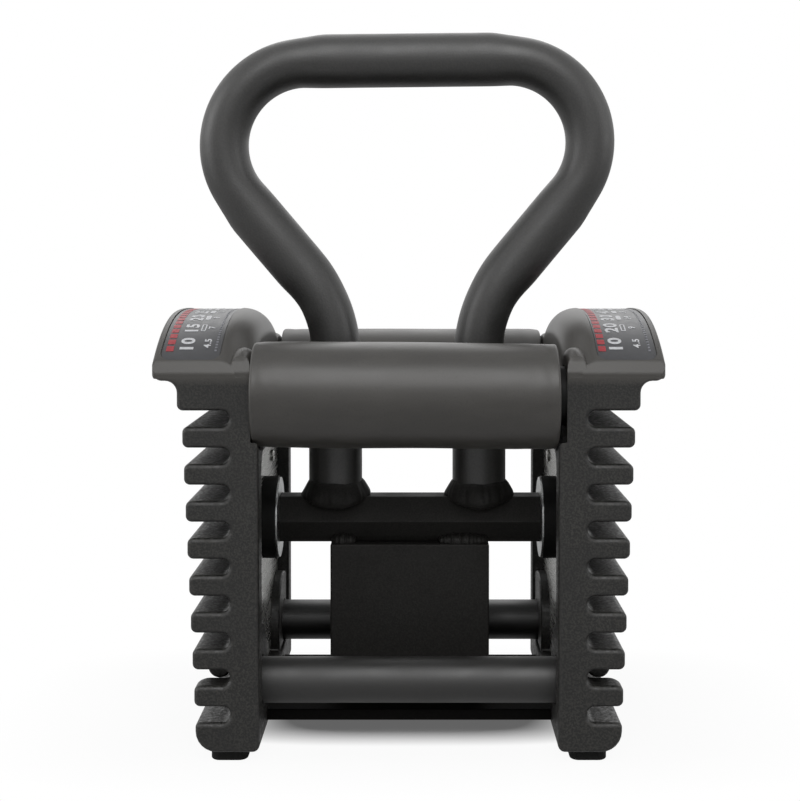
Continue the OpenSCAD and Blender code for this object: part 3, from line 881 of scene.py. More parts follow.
@dataclass
class EndHousing:
    """Comb-shaped moulded end with an arched hood, a tray on its inner face and round rod bosses.

    The sizes are those of the right end, in millimetres. X runs outwards, Y to the rear and Z up.
    """

    rim_x: float = 64.0
    slot_x: float = 76.6
    shelf_x: float = 99.0
    hood_x: float = 109.5
    hood_inner_x: float = 68.0
    half_depth: float = 74.5
    base_z: float = 5.4
    toe_x: float = 91.5
    toe_top: float = 18.25
    slot_top: float = 152.1
    slot_pitch: float = 15.875
    slot_height: float = 6.85
    slot_count: int = 9
    fin_reach_top: float = 20.6
    fin_reach_bottom: float = 14.9
    fin_corner: float = 2.6
    lip_z: float = 164.8
    lip_x: float = 107.2
    ledge_z: float = 167.3
    ledge_x: float = 109.2
    edge: float = 2.1
    soft: float = 0.7
    thin: float = 0.5
    stub_inner: float = 61.0
    stub_corner: float = 5.0
    stub_edge: float = 1.0
    stub_sunk: float = 0.15
    stub_root: float = 6.0
    pad_y: float = 61.0
    pad_z: float = 157.4
    pocket_x: float = 67.5
    pocket_radius: float = 23.25
    rod_y: float = 51.0
    rod_z: float = 30.0
    boss_radius: float = 25.0
    socket_end: float = 74.75
    rod_socket: tuple[float, float] = (10.25, 65.5)
    pad_socket_radius: float = 12.95
    hexagon_radius: float = 12.56
    hexagon_z: float = 93.0
    hexagon_mouth: float = 72.2
    base_slot_half: float = 43.25
    base_slot_z: tuple[float, float] = (8.75, 14.25)
    base_slot_x: tuple[float, float] = (63.0, 68.25)
    tray_half: float = 62.0
    tray_low: float = 20.0
    tray_high: float = 132.0
    tray_back: float = 72.5
    tray_corner: float = 8.0
    tray_points: int = 360
    arch: Arch = field(default_factory=Arch)
    hood_end: HoodEnd = field(default_factory=HoodEnd)

    @property
    def slot_round(self) -> float:
        """Radius of a slot's inner corners, a hair under half its height so that the arcs don't meet."""
        return self.slot_height / 2 - 0.01

    def fin_reach(self, z: float) -> float:
        """Outer end of a fin whose middle is at height z; the reach grows evenly upwards."""
        share = (z - self.toe_top) / (self.slot_top - self.toe_top)
        return self.slot_x + self.fin_reach_bottom + (self.fin_reach_top - self.fin_reach_bottom) * share

    def comb(self) -> Shell:
        """Carry the comb's outline from front to rear, with every edge rounded at both ends.

        Returns:
            The closed shell.
        """
        corners = [(self.rim_x, self.base_z), (self.toe_x, self.base_z), (self.toe_x, self.toe_top)]
        radii = [3.0, 9.0, 2.2]
        shares = [self.soft, self.soft, 1.0]
        tops = [self.slot_top - self.slot_pitch * index for index in range(self.slot_count - 1)]
        bottoms = [top - self.slot_height for top in tops]
        bottoms[-1] = self.toe_top
        for top, bottom in reversed(list(zip(tops, bottoms))):
            corners += [(self.slot_x, bottom), (self.slot_x, top)]
            radii += [self.slot_round, self.slot_round]
            shares += [1.0, 1.0]
            if top < self.slot_top:
                fin_top = top + self.slot_pitch - self.slot_height
                reach = self.fin_reach((top + fin_top) / 2)
                corners += [(reach, top), (reach, fin_top)]
                radii += [self.fin_corner, self.fin_corner]
                shares += [self.soft, 1.0]
        corners += [(self.shelf_x, self.slot_top), (self.shelf_x, self.lip_z), (self.lip_x, self.lip_z),
                    (self.ledge_x, self.ledge_z), (self.rim_x, self.ledge_z)]
        radii += [2.6, 5.0, 4.0, 0.3, 1.2]
        shares += [self.soft, 1.0, self.thin, self.thin, self.thin]
        # Turned round for the slab, the side before a corner is the side after it here.
        turned = (shares[1:] + shares[:1])[::-1]
        return rounded_slab([(z, x) for x, z in corners][::-1], radii[::-1], 1, -self.half_depth,
                            self.half_depth, self.edge, 6, turned)

    def stub(self, side: int) -> Shell:
        """Carry the short lowest fin along Y; in plan its inner corner is a quarter circle.

        Args:
            side: -1 for the front, 1 for the rear.

        Returns:
            The closed shell.
        """
        depth, inset = edge_round(self.edge, 5)
        near, near_inset = edge_round(self.stub_edge, 4)
        front = self.half_depth - 0.04
        y = np.concatenate([self.stub_inner + near, self.stub_inner + np.array([1.8, 2.8, 4.0, 5.0]),
                            [68.5, 71.0], (front - depth)[::-1]])
        insets = np.concatenate([near_inset, np.zeros(6), inset[::-1]])
        along = np.clip(self.stub_inner + self.stub_corner - y, 0, self.stub_corner)
        bottom = self.slot_top - self.slot_pitch * (self.slot_count - 1)
        roof = bottom + self.slot_pitch - self.slot_height
        reach = self.fin_reach((bottom + roof) / 2) - self.stub_corner
        reach = reach + np.sqrt(self.stub_corner ** 2 - along ** 2)
        wall, inside = self.slot_x - self.stub_sunk, self.slot_x - self.stub_root
        under, over = bottom - self.stub_root, roof + self.stub_root
        path = [(inside, under), (wall, under), (wall, bottom), (0, bottom), (0, roof), (wall, roof),
                (wall, over), (inside, over)]
        radii = [0.2, 0.2, self.slot_round, self.fin_corner, self.fin_corner, self.slot_round, 0.2, 0.2]
        corners = np.repeat(np.array(path, float)[None], len(y), 0)
        corners[:, 3:5, 0] = reach[:, None]
        shares = np.array([1, 1, 1, self.soft, 1, 1, 1, 1])
        outline = rounded_path(*inset_corners(corners, np.repeat([radii], len(y), 0), insets, shares), 6)
        depths = np.repeat(side * y[:, None], outline.shape[1], 1)
        return loft(np.stack([outline[..., 0], depths, outline[..., 1]], -1))

    def pocket(self, side: int) -> Shell:
        """Turn the cutter of the round pocket that takes one pad's end, with a soft rim.

        Args:
            side: -1 for the front, 1 for the rear.

        Returns:
            The closed cutter.
        """
        rim, floor = 1.6, 0.4
        depth, flare = edge_round(rim, 5)
        x = np.concatenate([[self.rim_x - 0.5], self.rim_x + depth, [self.pocket_x - floor, self.pocket_x]])
        r = self.pocket_radius + np.concatenate([[rim], flare, [0, -floor]])
        return lathe(np.stack([x, r], 1), side * self.pad_y, self.pad_z, 160)

    def pocket_corner(self, side: int) -> Shell:
        """Shape the cutter that rounds the top corner of the wall beside a pad.

        Its section is a square less a quarter circle, carried straight along Y.

        Args:
            side: -1 for the front, 1 for the rear.

        Returns:
            The closed cutter.
        """
        radius, start_y = 3.6, 40.2
        turn = np.linspace(0, math.pi / 2, 9)
        centre_x, centre_z = self.pocket_x + radius, self.ledge_z - radius
        arc = np.stack([centre_x - radius * np.cos(turn), centre_z + radius * np.sin(turn)], 1)
        section = np.concatenate([arc, [[centre_x, self.ledge_z + 1], [self.pocket_x - 1, self.ledge_z + 1],
                                        [self.pocket_x - 1, centre_z]]])
        y = side * np.array([start_y, self.half_depth + 1])
        rings = np.stack([np.repeat(section[None, :, 0], 2, 0), np.repeat(y[:, None], len(section), 1),
                          np.repeat(section[None, :, 1], 2, 0)], -1)
        return loft(rings)

    def hood(self) -> Shell:
        """Carry the hood's section from front to rear under the arch.

        A point at a distance below the arch keeps it at every depth. Near the two ends the section is cut
        off at the height of the end slope, and its sides move inwards as a quarter circle does.

        Returns:
            The closed shell.
        """
        shoulder, outer, lip, foot, end = 13.0, 1.3, 2.7, 165.6, 2.2
        y_half = np.concatenate([self.hood_end.stations(), np.linspace(68.5, 2, 26)])
        inset = end - np.sqrt(np.clip(end ** 2 - np.clip(y_half - y_half[0] + end, 0, end) ** 2, 0, None))
        y = np.concatenate([-y_half, y_half[::-1]])[:, None]
        insets = np.concatenate([inset, inset[::-1]])[:, None]
        lowest = (self.arch.height(y) - foot - 0.7) / self.arch.stretch(y)
        last = np.arccos(1 - np.clip(lowest, 0, shoulder) / shoulder)
        turn = last * np.linspace(0, 1, 15)
        corner = np.linspace(0, math.pi / 2, 8)
        lip_turn = np.linspace(-0.7, 0, 5)
        count = len(y)

        def across(values: np.ndarray) -> np.ndarray:
            """Repeat a row of values at each depth."""
            return np.repeat(np.asarray(values, float)[None], count, 0)

        x_inner = self.hood_inner_x + shoulder - shoulder * np.sin(turn)
        x = np.concatenate([x_inner[:, -1:], across([90.0]),
                            across(self.hood_x - lip + lip * np.cos(lip_turn)),
                            across(self.hood_x - outer + outer * np.cos(corner)),
                            across(np.linspace(104, 84, 6)), x_inner], axis=1)
        below = np.concatenate([across(outer - outer * np.sin(corner)), across(np.zeros(6)),
                                shoulder - shoulder * np.cos(turn)], axis=1)
        z_low = across(np.concatenate([[foot, foot], self.lip_z + lip + lip * np.sin(lip_turn)]))
        z = np.concatenate([z_low, self.arch.height(y, below)], axis=1)
        x[:, 2:-20] -= insets
        x[:, -14:] += insets * np.linspace(0, 1, 14)
        x[:, :1] += insets
        z = np.minimum(z, self.hood_end.limit(y))
        rings = np.stack([x, np.repeat(y, x.shape[1], 1), z], axis=-1)
        return loft(rings)

    def cup(self, side: int) -> Shell:
        """Carry the soft round bulge behind one pad's end along Y, cut off at the slope of the hood's end.

        Its radius R(x) about the pad's axis falls at both ends as a quarter circle does, and at depth y its
        top stands at z = axis + sqrt(R(x)^2 - (y - axis)^2).

        Args:
            side: -1 for the front, 1 for the rear.

        Returns:
            The closed shell.
        """
        radius, edge, length, base = 20.9, 4.0, 8.6, 162.0
        turn = np.linspace(0, math.pi / 2, 9)
        face = self.pocket_x + 0.05
        rise = edge * (1 - np.cos(turn))
        x = np.concatenate([face + rise, (face + length - rise)[::-1]])
        reach = radius - edge * (1 - np.sin(turn))
        reach = np.concatenate([reach, reach[::-1]])[None]
        front = self.hood_end.front_y - 0.06
        y = np.concatenate([np.linspace(40.3, 71.5, 40), np.linspace(71.9, front, 8)])[:, None]
        top = self.pad_z + np.sqrt(np.clip(reach ** 2 - (y - self.pad_y) ** 2, 0, None))
        top = np.clip(top, base + 0.8, self.hood_end.limit(y) - 0.05)
        z = np.concatenate([top, np.full((len(y), 2), base)], axis=1)
        x = np.repeat(np.concatenate([x, [face + length, face]])[None], len(y), 0)
        return loft(np.stack([x, np.repeat(side * y, x.shape[1], 1), z], axis=-1))

    def pin_stop(self, side: int) -> Shell:
        """Carry one pin stop's round-bottomed outline along Y under the last full fin.

        Args:
            side: -1 for the front, 1 for the rear.

        Returns:
            The closed shell.
        """
        x, width, low, roof, half_length = 83.4, 10.2, 32.4, 41.6, 6.0
        y = side * self.rod_y
        corners = rectangle(low, roof, x - width / 2, x + width / 2)
        return rounded_slab(corners, [5.0, 0.3, 0.3, 5.0], 1, y - half_length, y + half_length, 1.2, 8)

    def tray_outline(self, boss: float) -> np.ndarray:
        """Outline the tray in (Y, Z) around the two bosses, evenly spaced and with soft corners.

        The path runs along the floor, round a boss, up the side, round the top and back down. It is cut
        into equal steps, and each point is then averaged with its neighbours, which rounds the corners.

        Args:
            boss: radius of the bosses.

        Returns:
            Points, shape (points, 2).
        """
        half, low, high, corner = self.tray_half, self.tray_low, self.tray_high, self.tray_corner
        floor_y = self.rod_y - math.sqrt(boss ** 2 - (self.rod_z - low) ** 2)
        side_z = self.rod_z + math.sqrt(boss ** 2 - (half - self.rod_y) ** 2)
        start = math.atan2(low - self.rod_z, floor_y - self.rod_y) + 2 * math.pi
        end = math.atan2(side_z - self.rod_z, half - self.rod_y)
        sweep = np.linspace(start, end, 60)
        arc = np.stack([self.rod_y + boss * np.cos(sweep), self.rod_z + boss * np.sin(sweep)], 1)
        turn = np.linspace(0, math.pi / 2, 12)
        top = np.stack([half - corner + corner * np.cos(turn), high - corner + corner * np.sin(turn)], 1)
        right = np.concatenate([[[0.0, low]], arc, top, [[0.0, high]]])
        left = right[-2:0:-1] * np.array([-1.0, 1.0])
        path = np.concatenate([right, left])
        closed = np.concatenate([path, path[:1]])
        distance = np.concatenate([[0], np.cumsum(np.linalg.norm(np.diff(closed, axis=0), axis=1))])
        even = np.linspace(0, distance[-1], self.tray_points, endpoint=False)
        points = np.stack([np.interp(even, distance, closed[:, k]) for k in (0, 1)], 1)
        for _ in range(2):
            points = (np.roll(points, 1, 0) + points + np.roll(points, -1, 0)) / 3
        return points

    def tray_cutters(self) -> tuple[Shell, Shell]:
        """Shape the shallow cut over the whole tray and the deep cut around the bosses.

        Returns:
            The shallow cutter, whose mouth flares as a quarter circle, and the deep cutter.
        """
        flare, face, rim_edge = 1.5, self.rim_x + 1.5, 1.2
        depth, inset = edge_round(flare, 5)
        corners = np.array([rectangle(-self.tray_half, self.tray_half, self.tray_low, self.tray_high)])
        count = len(depth) + 1
        grow = np.concatenate([[-flare - 0.6], -inset])
        x = np.concatenate([[self.rim_x - 0.6], self.rim_x + depth])
        moved = inset_corners(np.repeat(corners, count, 0), np.full((count, 4), self.tray_corner), grow)
        flat = rounded_path(*moved, 12)
        shallow = loft(np.stack([np.repeat(x[:, None], flat.shape[1], 1), flat[..., 0], flat[..., 1]], -1))
        step, shrink = edge_round(rim_edge, 4)
        levels = np.concatenate([[face - 0.1], face + step, [self.tray_back]])
        bosses = self.boss_radius - np.concatenate([[rim_edge], shrink, [0]])
        outlines = np.stack([self.tray_outline(boss) for boss in bosses])
        deep = loft(np.stack([np.repeat(levels[:, None], self.tray_points, 1),
                              outlines[..., 0], outlines[..., 1]], -1))
        return shallow, deep

    def socket(self, y: float, z: float, radius: float, mouth: float) -> Shell:
        """Turn the cutter of a round socket, flared at its mouth as a quarter circle.

        Args:
            y: depth of its axis.
            z: height of its axis.
            radius: radius of the socket.
            mouth: X of its mouth.

        Returns:
            The closed cutter.
        """
        flare = 0.9
        depth, inset = edge_round(flare, 4)
        x = np.concatenate([[mouth - 0.2], mouth + depth, [self.socket_end]])
        r = np.concatenate([[radius + flare], radius + inset, [radius]])
        return lathe(np.stack([x, r], 1), y, z, 72)

    def label_recess(self) -> Shell:
        """Shape the shallow recess that the label lies in, a fixed depth below the arch."""
        return draped_slab(self.arch, 80.8, 106.8, 71.4, 4.4, 0.75, -1.5)

    def shell(self) -> bpy.types.Object:
        """Build the right housing: the comb, joined with its bulges and cut one step after the other.

        Returns:
            One closed mesh.
        """
        body = make_object("housing_body", self.comb(), 0.02)
        shallow, deep = self.tray_cutters()
        hexagon = rounded_slab(hexagon_corners(self.hexagon_radius, self.hexagon_z), [0.4] * 6, 0,
                               self.hexagon_mouth, self.socket_end, 0.1, 2)
        base_slot = rounded_slab(rectangle(-self.base_slot_half, self.base_slot_half, *self.base_slot_z),
                                 [0.4] * 4, 0, *self.base_slot_x, 0.2, 3)
        sockets = [self.socket(side * self.rod_y, self.rod_z, *self.rod_socket) for side in (-1, 1)]
        bores = [self.socket(side * self.pad_y, self.pad_z, self.pad_socket_radius, self.pocket_x)
                 for side in (-1, 1)]
        carve(body, [
            ("DIFFERENCE", self.pocket(-1).joined(self.pocket(1))),
            ("DIFFERENCE", self.pocket_corner(-1).joined(self.pocket_corner(1))),
            ("UNION", self.hood()),
            ("UNION", self.stub(-1).joined(self.stub(1), self.cup(-1), self.cup(1))),
            ("UNION", self.pin_stop(-1).joined(self.pin_stop(1))),
            ("DIFFERENCE", shallow.joined(self.label_recess(), base_slot)),
            ("DIFFERENCE", deep.joined(*sockets, *bores)),
            ("DIFFERENCE", hexagon),
        ])
        return body

    def build(self, finishes: Finishes) -> None:
        """Build both housings, the left one as the mirror image of the right one.

        Args:
            finishes: the materials.
        """
        body = self.shell()
        solid = read_mesh(body)
        mesh = body.data
        bpy.data.objects.remove(body)
        bpy.data.meshes.remove(mesh)
        for side in Side:
            piece = make_object(f"{side.value}_end_housing", side.place(solid), 0.004)
            finish_piece(piece, finishes.moulding, (f"{side.value}_housing",), 28)


def draped_slab(arch: Arch, low_x: float, high_x: float, half: float, corner: float,
                below: float, above_below: float, rows: int = 64) -> Shell:
    """Lay a thin sheet with rounded corners on the arch.

    Rows run across at depths y. A row's width falls near the ends as the corner's quarter circle does,
    and each point stands at the arch's height there less its distance below the surface.

    Args:
        arch: the arch.
        low_x: one side of the sheet.
        high_x: the other side.
        half: half the length of the sheet.
        corner: radius of the corners.
        below: distance of the underside below the arch.
        above_below: distance of the top side below the arch, negative above it.
        rows: number of straight rows between the corners.

    Returns:
        The closed shell.
    """
    turn = np.linspace(0, math.pi / 2, 7)
    y_end = half - corner + corner * np.cos(turn)
    width_loss = corner - corner * np.sin(turn)
    middle = np.linspace(half - corner, corner - half, rows)[1:-1]
    y = np.concatenate([y_end, middle, -y_end[::-1]])
    loss = np.concatenate([width_loss, np.zeros(rows - 2), width_loss[::-1]])
    across = np.linspace(0, 1, 9)
    x = (low_x + loss)[:, None] + across[None] * (high_x - low_x - 2 * loss)[:, None]
    y = np.repeat(y[:, None], len(across), 1)
    under = np.stack([x, y, arch.height(y, below)], axis=-1)
    over = np.stack([x, y, arch.height(y, above_below)], axis=-1)
    ring = np.concatenate([under, over[:, ::-1]], axis=1)
    count, columns = ring.shape[0], ring.shape[1]
    faces = grid_faces(count, columns)
    ends = []
    for row in (0, count - 1):
        base = row * columns
        ends += [(base + j, base + j + 1, base + columns - 2 - j, base + columns - 1 - j) for j in range(8)]
    return Shell(ring.reshape(-1, 3), faces + ends)


@dataclass(frozen=True)
class LabelColumns:
    """Numbers of one label, and where its columns stand across the hood."""

    large: tuple[str, ...]
    small: tuple[str, ...]
    stripe: tuple[float, float]
    large_x: float
    mark_x: float
    small_x: float
    dots: tuple[float, float]


LEFT_COLUMNS = LabelColumns(
    ("10", "15", "20", "25", "30", "35", "40", "45", "50", "55"),
    ("4.5", "7", "9", "11", "14", "16", "18", "20", "23", "25"),
    (-104.8, -101.6), -96.2, -91.1, -87.5, (-83.9, -82.9))
RIGHT_COLUMNS = LabelColumns(
    ("10", "20", "30", "40", "50", "60", "70", "80", "90", "100"),
    ("4.5", "9", "14", "18", "23", "27", "32", "36", "41", "45"),
    (81.9, 85.1), 89.6, 94.9, 98.9, (103.4, 104.4))


@dataclass
class HoodLabel:
    """Printed vinyl sheet on each hood.

    It carries a stripe of bars, a column of large and one of small weight numbers with box marks between
    them, and a row of fine dots.
    """

    rows: tuple[float, ...] = (-60.8, -47.3, -33.8, -20.3, -6.8, 6.8, 20.3, 33.8, 47.3, 60.8)
    large_height: float = 5.5
    large_weight: float = 0.055
    small_height: float = 2.9
    small_weight: float = 0.045
    digit_stretch: float = 1.15
    digit_spacing: float = 1.12
    capital_share: float = 0.7
    mark_length: float = 7.2
    mark_width: float = 2.2
    mark_corner: float = 0.9
    mark_line: float = 0.55
    mark_fill: float = 1.09
    stripe_bar: tuple[float, float] = (3.3, 4.6)
    dot_bar: tuple[float, float] = (1.1, 1.9)
    print_half: float = 67.0
    low_x: float = 81.2
    high_x: float = 106.4
    half: float = 71.0
    corner: float = 4.0
    sheet_low: float = 0.75
    sheet_high: float = 0.4
    ink: float = 0.3
    arch: Arch = field(default_factory=Arch)

    def numeral(self, text: str, x: float, y: float, height: float, weight: float) -> Shell:
        """Cut one number from flat letters and lay it on the arch, reading towards the rear.

        Args:
            text: the digits.
            x: middle of the number across the hood.
            y: middle of the number along the hood.
            height: height of the digits.
            weight: how far the strokes are thickened, as a share of the height.

        Returns:
            The closed shell of the printed ink.
        """
        curve = bpy.data.curves.new("digits", "FONT")
        curve.body = text
        curve.size = height / self.capital_share
        curve.offset = weight * height
        curve.align_x = "CENTER"
        curve.align_y = "CENTER"
        curve.resolution_u = 4
        curve.space_character = self.digit_spacing
        letters = bpy.data.objects.new("digits", curve)
        bpy.context.scene.collection.objects.link(letters)
        flat = bpy.data.meshes.new_from_object(letters.evaluated_get(bpy.context.evaluated_depsgraph_get()))
        bpy.data.objects.remove(letters)
        bpy.data.curves.remove(curve)
        flat_points = np.empty(len(flat.vertices) * 3)
        flat.vertices.foreach_get("co", flat_points)
        flat_points = flat_points.reshape(-1, 3)
        faces = [tuple(face.vertices) for face in flat.polygons]
        bpy.data.meshes.remove(flat)
        middle = (flat_points.min(0) + flat_points.max(0)) / 2
        depth = y + (flat_points[:, 0] - middle[0]) * self.digit_stretch
        across = x - (flat_points[:, 1] - middle[1])
        points = np.stack([across, depth, self.arch.height(depth, self.ink)], 1)
        return Shell(points, faces)

    def mark(self, x: float, y: float, line_width: float) -> Shell:
        """Outline one small rounded box as a printed line between its outline and the same moved inwards.

        Args:
            x: middle of the box across the hood.
            y: middle of the box along the hood.
            line_width: width of the line; half the width of the box fills it.

        Returns:
            The open shell of the printed ink.
        """
        width, length = self.mark_width, self.mark_length
        outer = np.array([rectangle(x - width / 2, x + width / 2, y - length / 2, y + length / 2)])
        depth = np.array([0.0, line_width])
        radii = np.full((2, 4), self.mark_corner)
        line = rounded_path(*inset_corners(np.repeat(outer, 2, 0), radii, depth), 4)
        rings = np.stack([line[..., 0], line[..., 1], self.arch.height(line[..., 1], self.ink)], axis=-1)
        return Shell(rings.reshape(-1, 3), grid_faces(2, line.shape[1]))

    def bars(self, low: float, high: float, length: float, pitch: float) -> Shell:
        """Print a column of short bars along the hood, evenly spaced about its middle.

        Each bar is three four-sided faces long, so that it bends with the arch.

        Args:
            low: lower X of the column.
            high: upper X of the column.
            length: length of one bar.
            pitch: distance from one bar to the next.

        Returns:
            The open shell of the printed ink.
        """
        count = int(2 * self.print_half / pitch)
        start = (np.arange(count) - (count - 1) / 2) * pitch - length / 2
        depth = (start[:, None] + np.linspace(0, length, 4)[None]).ravel()
        points = np.stack([np.tile([low, high], len(depth)), np.repeat(depth, 2),
                           np.repeat(self.arch.height(depth, self.ink), 2)], 1)
        faces = [tuple(index + 8 * bar + 2 * row for index in (0, 1, 3, 2))
                 for bar in range(count) for row in range(3)]
        return Shell(points, faces)

    def build(self, finishes: Finishes) -> None:
        """Build both labels.

        Args:
            finishes: the materials.
        """
        for side, columns in ((Side.LEFT, LEFT_COLUMNS), (Side.RIGHT, RIGHT_COLUMNS)):
            name = side.value
            sheet = draped_slab(self.arch, self.low_x, self.high_x, self.half, self.corner,
                                self.sheet_low, self.sheet_high)
            piece = make_object(f"{name}_label_sheet", side.place(sheet))
            finish_piece(piece, finishes.sheet, (f"{name}_label",))
            stripe = make_object(f"{name}_label_stripe", self.bars(*columns.stripe, *self.stripe_bar))
            finish_piece(stripe, finishes.red_ink)
            dots = make_object(f"{name}_label_dots", self.bars(*columns.dots, *self.dot_bar))
            finish_piece(dots, finishes.grey_ink)
            prints = [self.numeral(text, columns.large_x, y, self.large_height, self.large_weight)
                      for text, y in zip(columns.large, self.rows)]
            prints += [self.numeral(text, columns.small_x, y, self.small_height, self.small_weight)
                       for text, y in zip(columns.small, self.rows)]
            # The first row has no mark, the second an open one, and the rest are filled.
            lines = (self.mark_line,) + (self.mark_fill,) * (len(self.rows) - 2)
            prints += [self.mark(columns.mark_x, y, line) for y, line in zip(self.rows[1:], lines)]
            ink = make_object(f"{name}_label_numbers", prints[0].joined(*prints[1:]))
            finish_piece(ink, finishes.white_ink)


@dataclass
class TubeHandle:
    """Bent one-inch tube: a straight grip, two tight upper bends, sloping stretches and two legs.

    It is bent by hand on a former. The upper bends are flattened on their outer side and the lower ones on
    both sides. The right one ends a little higher than the left, and the handle stands slightly left of
    the middle.
    """

    radius: float = 12.7
    grip_z: float = 311.6
    grip_half: float = 48.3
    upper_radius: float = 39.8
    slope: float = math.radians(40)
    lower_radius: float = 62.0
    leg_x: float = 34.4
    leg_low: float = 101.0
    flat_share: float = 0.085
    low_share: float = 0.087
    upper_fade: float = 16.0
    low_fade: float = 22.0
    upper_offset: float = 0.7
    low_offset: float = 0.32
    bulge: float = 0.35
    rise_per_mm: float = 0.011
    leg_shift: float = -1.25
    top_shift: float = -1.3
    lean_low: float = 150.0
    lean_length: float = 70.0

    def centreline(self) -> tuple[np.ndarray, np.ndarray, np.ndarray, np.ndarray]:
        """Work out the tube's centreline from the middle of the grip down the right leg.

        Straight stretches and arcs follow one another with a common tangent, each cut into equal steps.
        The flattening is full inside a bend and fades as 3 t^2 - 2 t^3, over 16 mm at the ends of the upper
        bend and over 22 mm at those of the lower one.

        Returns:
            Points (x, z), unit tangents (x, z) and the upper and the lower flattening, each from 0 to 1.
        """
        up_z = self.grip_z - self.upper_radius
        a = np.linspace(math.pi / 2, -self.slope, 49)
        upper = np.stack([self.grip_half + self.upper_radius * np.cos(a),
                          up_z + self.upper_radius * np.sin(a)], 1)
        upper_way = np.stack([np.sin(a), -np.cos(a)], 1)
        low_x = self.leg_x + self.lower_radius * (1 - math.cos(self.slope))
        low_z = upper[-1, 1] - (upper[-1, 0] - low_x) / math.tan(self.slope)
        centre_z = low_z - self.lower_radius * math.sin(self.slope)
        b = np.linspace(math.pi - self.slope, math.pi, 25)
        lower = np.stack([self.leg_x + self.lower_radius * (1 + np.cos(b)),
                          centre_z + self.lower_radius * np.sin(b)], 1)
        lower_way = np.stack([-np.sin(b), np.cos(b)], 1)
        grip = np.stack([np.linspace(0, self.grip_half, 25)[:-1], np.full(24, self.grip_z)], 1)
        share = np.linspace(0, 1, 21)[1:-1, None]
        middle = upper[-1] + share * (lower[0] - upper[-1])
        leg = np.stack([np.full(16, self.leg_x), np.linspace(centre_z, self.leg_low, 17)[1:]], 1)
        points = np.concatenate([grip, upper, middle, lower, leg])
        ways = np.concatenate([np.tile([1.0, 0.0], (len(grip), 1)), upper_way,
                               np.tile(upper_way[-1], (len(middle), 1)), lower_way,
                               np.tile([0.0, -1.0], (len(leg), 1))])
        run = np.concatenate([[0], np.cumsum(np.linalg.norm(np.diff(points, axis=0), axis=1))])
        upper_start, lower_start = len(grip), len(grip) + len(upper) + len(middle)
        upper_end, lower_end = upper_start + len(upper) - 1, lower_start + len(lower) - 1
        upper_fade = np.minimum(run - run[upper_start] + 10, run[upper_end] + 10 - run) / self.upper_fade
        low_fade = np.minimum(run - run[lower_start] + 5, run[lower_end] + 8 - run) / self.low_fade
        return points, ways, smooth_step(upper_fade), smooth_step(low_fade)

    def build(self, finishes: Finishes) -> None:
        """Carry a circle along the centreline, flattened in the bends, and close its ends.

        In a bend the circle's width falls by a share f. Its middle moves inwards by 0.7 f R in the upper
        bend, so that most of the loss is on the outer side, and by 0.32 f R in the lower one. Above the
        feet of the legs the whole handle then shifts sideways and its right side rises.

        Args:
            finishes: the materials.
        """
        half, way, upper, lower = self.centreline()
        flip = np.array([-1.0, 1.0])
        points = np.concatenate([half[:0:-1] * flip, half])
        ways = np.concatenate([way[:0:-1] * np.array([1.0, -1.0]), way])
        upper, lower = (np.concatenate([fade[:0:-1], fade]) for fade in (upper, lower))
        loss = self.flat_share * upper + self.low_share * lower
        shift = self.upper_offset * self.flat_share * upper + self.low_offset * self.low_share * lower
        angle = np.linspace(0, 2 * math.pi, 80, endpoint=False)
        side = np.stack([-ways[:, 1], ways[:, 0]], 1)
        points = points - self.radius * shift[:, None] * side
        in_plane = self.radius * (1 - loss)[:, None] * np.cos(angle)
        out = self.radius * (1 + self.bulge * loss)[:, None] * np.sin(angle)
        x = points[:, 0:1] + side[:, 0:1] * in_plane
        z = points[:, 1:2] + side[:, 1:2] * in_plane
        high = smooth_step((z - self.lean_low) / self.lean_length)
        z = z + self.rise_per_mm * high * x
        x = x + self.leg_shift + (self.top_shift - self.leg_shift) * high
        piece = make_object("tube_handle", loft(np.stack([x, out, z], -1)))
        finish_piece(piece, finishes.handle, ("handle_loop",))


